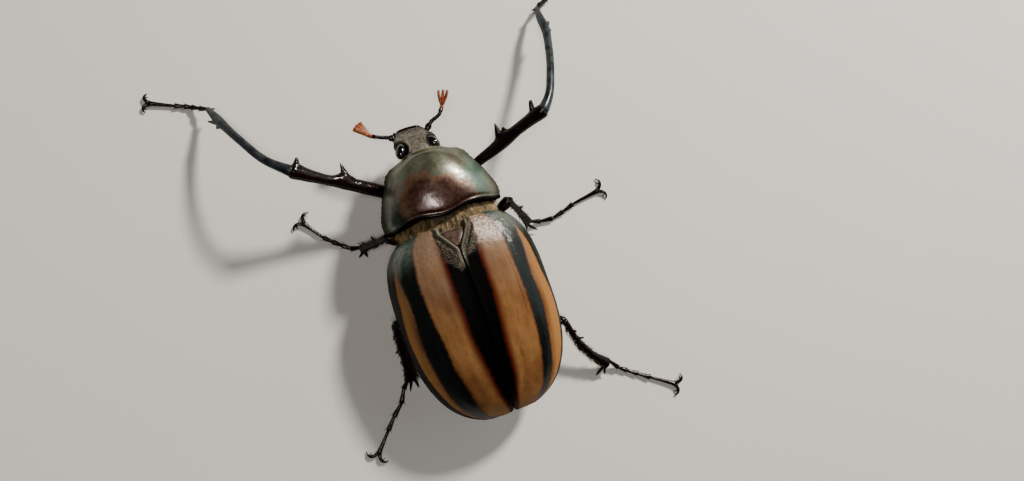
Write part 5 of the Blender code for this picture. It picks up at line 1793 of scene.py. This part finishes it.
@dataclass
class Pelt:
    """Golden hair of the thorax and the waist, and the dark fringe behind the wing cases."""

    body: Underbody
    collar_hairs: int = 6400
    tail_hairs: int = 90
    neck_hairs: int = 260
    scutellum_x: float = 2.4

    def build(self, bench: Bench) -> None:
        """Grow and build the coats."""
        self.collar(bench)
        self.thorax(bench)
        self.fringe(bench)

    def collar(self, bench: Bench) -> None:
        """Hair that fills the trench between the shield and the wing cases."""
        coat = Coat("collar_hair", 11)
        draw = coat.draw
        shield = self.body.shield
        for _ in range(self.collar_hairs):
            x = draw.uniform(-10.3, 10.3)
            front = shield.rear_y + shield.wave_at(x, shield.rear_y) - 0.05
            y = draw.uniform(front, -4.15 if abs(x) > self.scutellum_x else -2.9)
            reach = min(1.0, abs(x) / 9.6)
            angle = math.acos(max(-1.0, min(1.0, x / 9.9)))
            _, z = rounded(angle, 9.9, self.body.waist_rise, 2.1)
            root = Vector((x, y, self.body.waist_z + z - 0.1))
            if abs(x) < self.scutellum_x:
                root.z = max(root.z, 16.4 + 0.35 * (y + 5.2))
            outward = 0.3 * reach * (1 if x > 0 else -1)
            way = Vector((0.35 * draw.uniform(-1, 1) + outward, draw.uniform(0.5, 1.4), 0.5))
            lean = Vector((draw.uniform(-0.3, 0.3), draw.uniform(0.1, 0.5), -0.3))
            length = draw.uniform(0.6, 1.25) * (0.7 if abs(x) < self.scutellum_x else 1.0)
            clump = ripple((x, y * 0.7, 0.0), 0.55, 3.0)
            if clump < -0.1 and draw.random() < 0.85:
                continue
            tone = 0.25 + 1.1 * clump + 0.4 * ripple((x, y, 0.0), 2.0, 6.0) + draw.uniform(-0.2, 0.2)
            coat.grow(root, way, lean, length, 0.042, (0.5 + x / 26, 0.1 + (y + 7) / 8), tone)
        coat.build(bench, "collar_hair")

    def thorax(self, bench: Bench) -> None:
        """Hair over the sides and keel of the thorax, combed back."""
        for name, low, high, count, seed in (("prothorax_hair", -18.9, -5.7, 9000, 21),
                                             ("metathorax_hair", -3.9, 13.3, 11000, 22)):
            coat = Coat(name, seed)
            draw = coat.draw
            for _ in range(count):
                y, angle = draw.uniform(low, high), draw.uniform(0.03, math.pi - 0.03)
                root = self.body.spot(y, angle)
                ahead = self.body.spot(y + 0.05, angle) - root
                beside = self.body.spot(y, angle + 0.01) - root
                out = beside.cross(ahead).normalized()
                if out.z > 0 and abs(root.x) < 1.0:
                    out = -out
                if out.x * root.x < 0:
                    out = -out
                stray = Vector((draw.uniform(-0.3, 0.3), 0, draw.uniform(-0.3, 0.3)))
                way = out * 0.75 + Vector((0, 1, 0)) * 0.9 + stray
                lean = Vector((0, 0.25, -0.2)) + Vector((draw.uniform(-0.2, 0.2), 0, 0))
                length = draw.uniform(0.7, 1.5)
                coat.grow(root - out * 0.05, way, lean, length, 0.038, (angle / math.pi, (y + 20) / 40))
            coat.build(bench, "golden_hair")

    def fringe(self, bench: Bench) -> None:
        """Dark bristles that stick out behind the tips of the wing cases, and golden ones at the shield's front."""
        coat = Coat("tail_bristles", 31)
        draw = coat.draw
        for _ in range(self.tail_hairs):
            x = draw.uniform(-4.6, 4.6)
            root = Vector((x, 34.6, 8.6 + draw.uniform(-0.3, 0.5)))
            way = Vector((x * 0.08 + draw.uniform(-0.2, 0.2), 1.0, draw.uniform(-0.25, 0.1)))
            coat.grow(root, way, Vector((0, 0, -0.2)), draw.uniform(0.6, 1.1), 0.03, (0.5 + x / 12, draw.random()))
        coat.build(bench, "dark_bristle")
        coat = Coat("neck_hair", 32)
        draw = coat.draw
        shield = self.body.shield
        for _ in range(self.neck_hairs):
            angle = draw.uniform(0.02, math.pi - 0.02)
            x, z = rounded(angle, 4.6, 4.3, 2.1)
            root = Vector((x, shield.front_y + 0.12 + shield.wave_at(x, shield.front_y), 11.2 + z))
            way = Vector((x * 0.03, -1.0, -0.15 + draw.uniform(-0.1, 0.1)))
            lean = Vector((draw.uniform(-0.1, 0.1), -0.05, -0.2))
            coat.grow(root, way, lean, draw.uniform(0.2, 0.42), 0.022, (angle / math.pi, draw.random()))
        coat.build(bench, "golden_hair")


@dataclass
class Studio:
    """Pale floor, soft lights and the camera at the photo's viewing angle."""

    camera_place: tuple[float, float, float] = (15.4, 3.2, 188.5)
    camera_lean: float = math.radians(8.5)
    right_turn: tuple[float, float] = (-0.940, 0.342)
    focal_pixels: float = 900.0
    sensor: float = 36.0
    floor_size: float = 3.0
    sky_strength: float = 0.03

    def axes(self) -> tuple[Vector, Vector, Vector]:
        """Image right, image up and the direction back to the camera, in the beetle's frame."""
        across = Vector((math.cos(self.camera_lean), 0.0, -math.sin(self.camera_lean)))
        back = Vector((math.sin(self.camera_lean), 0.0, math.cos(self.camera_lean)))
        first, second = self.right_turn
        length = Vector((0.0, 1.0, 0.0))
        right = (across * first + length * second).normalized()
        return right, back.cross(right), back

    def build_camera(self, bench: Bench) -> None:
        """Set the camera where the photo was taken from."""
        right, up, back = self.axes()
        data = bpy.data.cameras.new("camera")
        data.sensor_fit = "HORIZONTAL"
        data.sensor_width = self.sensor
        data.lens = self.focal_pixels * self.sensor / IMAGE_WIDTH
        data.clip_start = 0.005
        data.clip_end = 20.0
        camera = put("camera", data)
        turn = Matrix((right, up, back)).transposed().to_4x4()
        place = bench.place @ Vector(self.camera_place)
        camera.matrix_world = Matrix.Translation(place) @ turn
        bpy.context.scene.camera = camera

    def add_light(self, name: str, way: Vector, distance: float, size: tuple[float, float], power: float,
                  colour: Colour) -> None:
        """Soft oval lamp that looks at the beetle from a direction; its longer side runs up the picture."""
        data = bpy.data.lights.new(name, "AREA")
        data.shape = "ELLIPSE"
        data.size, data.size_y = size
        data.energy = power
        data.color = colour[:3]
        lamp = put(name, data)
        way = way.normalized()
        right, up, _ = self.axes()
        side = (up * 0.75 - right * 0.6).cross(way).normalized()
        turn = Matrix((side, way.cross(side), way)).transposed().to_4x4()
        lamp.matrix_world = Matrix.Translation(way * distance) @ turn

    def build_lights(self) -> None:
        """Key lamp from the photo's side of the sun, a narrow lamp above, two low side lamps and a weak sky."""
        right, up, back = self.axes()
        self.add_light("key", right * 0.53 + up * 0.69 + back * 0.5, 0.6, (0.075, 0.075), 4.8, tint(255, 246, 232))
        self.add_light("top", right * 0.05 - up * 0.02 + back, 0.6, (0.045, 0.2), 0.85, tint(255, 244, 236))
        self.add_light("left", right * -0.94 + up * 0.29 + back * 0.24, 0.7, (0.5, 0.5), 0.18, tint(236, 244, 240))
        self.add_light("right", right * 0.88 + up * 0.36 + back * 0.2, 0.7, (0.8, 0.6), 1.1, tint(226, 242, 244))
        world = bpy.data.worlds.new("sky")
        world.use_nodes = True
        shader = world.node_tree.nodes["Background"]
        shader.inputs["Color"].default_value = tint(225, 228, 232)
        shader.inputs["Strength"].default_value = self.sky_strength
        bpy.context.scene.world = world

    def build_floor(self, bench: Bench) -> None:
        """Wide level floor."""
        bench.clear()
        bpy.ops.mesh.primitive_plane_add(size=self.floor_size)
        floor = bpy.context.object
        floor.name = floor.data.name = "studio_floor"
        bench.edit(floor)
        bpy.ops.mesh.select_all(action="SELECT")
        bpy.ops.mesh.subdivide(number_cuts=4)
        bpy.ops.object.mode_set(mode="OBJECT")
        floor.data.materials.append(FloorFinish().make())
        floor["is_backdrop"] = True

    def build(self, bench: Bench) -> None:
        """Build the whole stage."""
        self.build_camera(bench)
        self.build_lights()
        self.build_floor(bench)


def main() -> None:
    """Load the solids, build the beetle around them and set the stage."""
    logging.basicConfig(level=logging.INFO, format="%(relativeCreated)7.0f ms  %(message)s", stream=sys.stdout)
    for item in list(bpy.data.objects):
        bpy.data.objects.remove(item, do_unlink=True)
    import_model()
    solid_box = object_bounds()
    bench = Bench()
    body = Underbody()
    WingCases().build(bench)
    Scutellum().build(bench)
    Pronotum().build(bench)
    body.build(bench)
    Head().build(bench)
    for feeler in FEELERS:
        feeler.build(bench)
    coat = Coat("leg_bristles", 41)
    for name, sizes in LEGS.items():
        Leg(name, sizes).build(bench, coat)
    coat.build(bench, "dark_bristle")
    Pelt(body).build(bench)
    Studio().build(bench)
    sizes = {"solids": [list(corner) for corner in solid_box], "visual": [list(corner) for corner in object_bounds()]}
    log.info("sizes written")


if __name__ == "__main__":
    main()
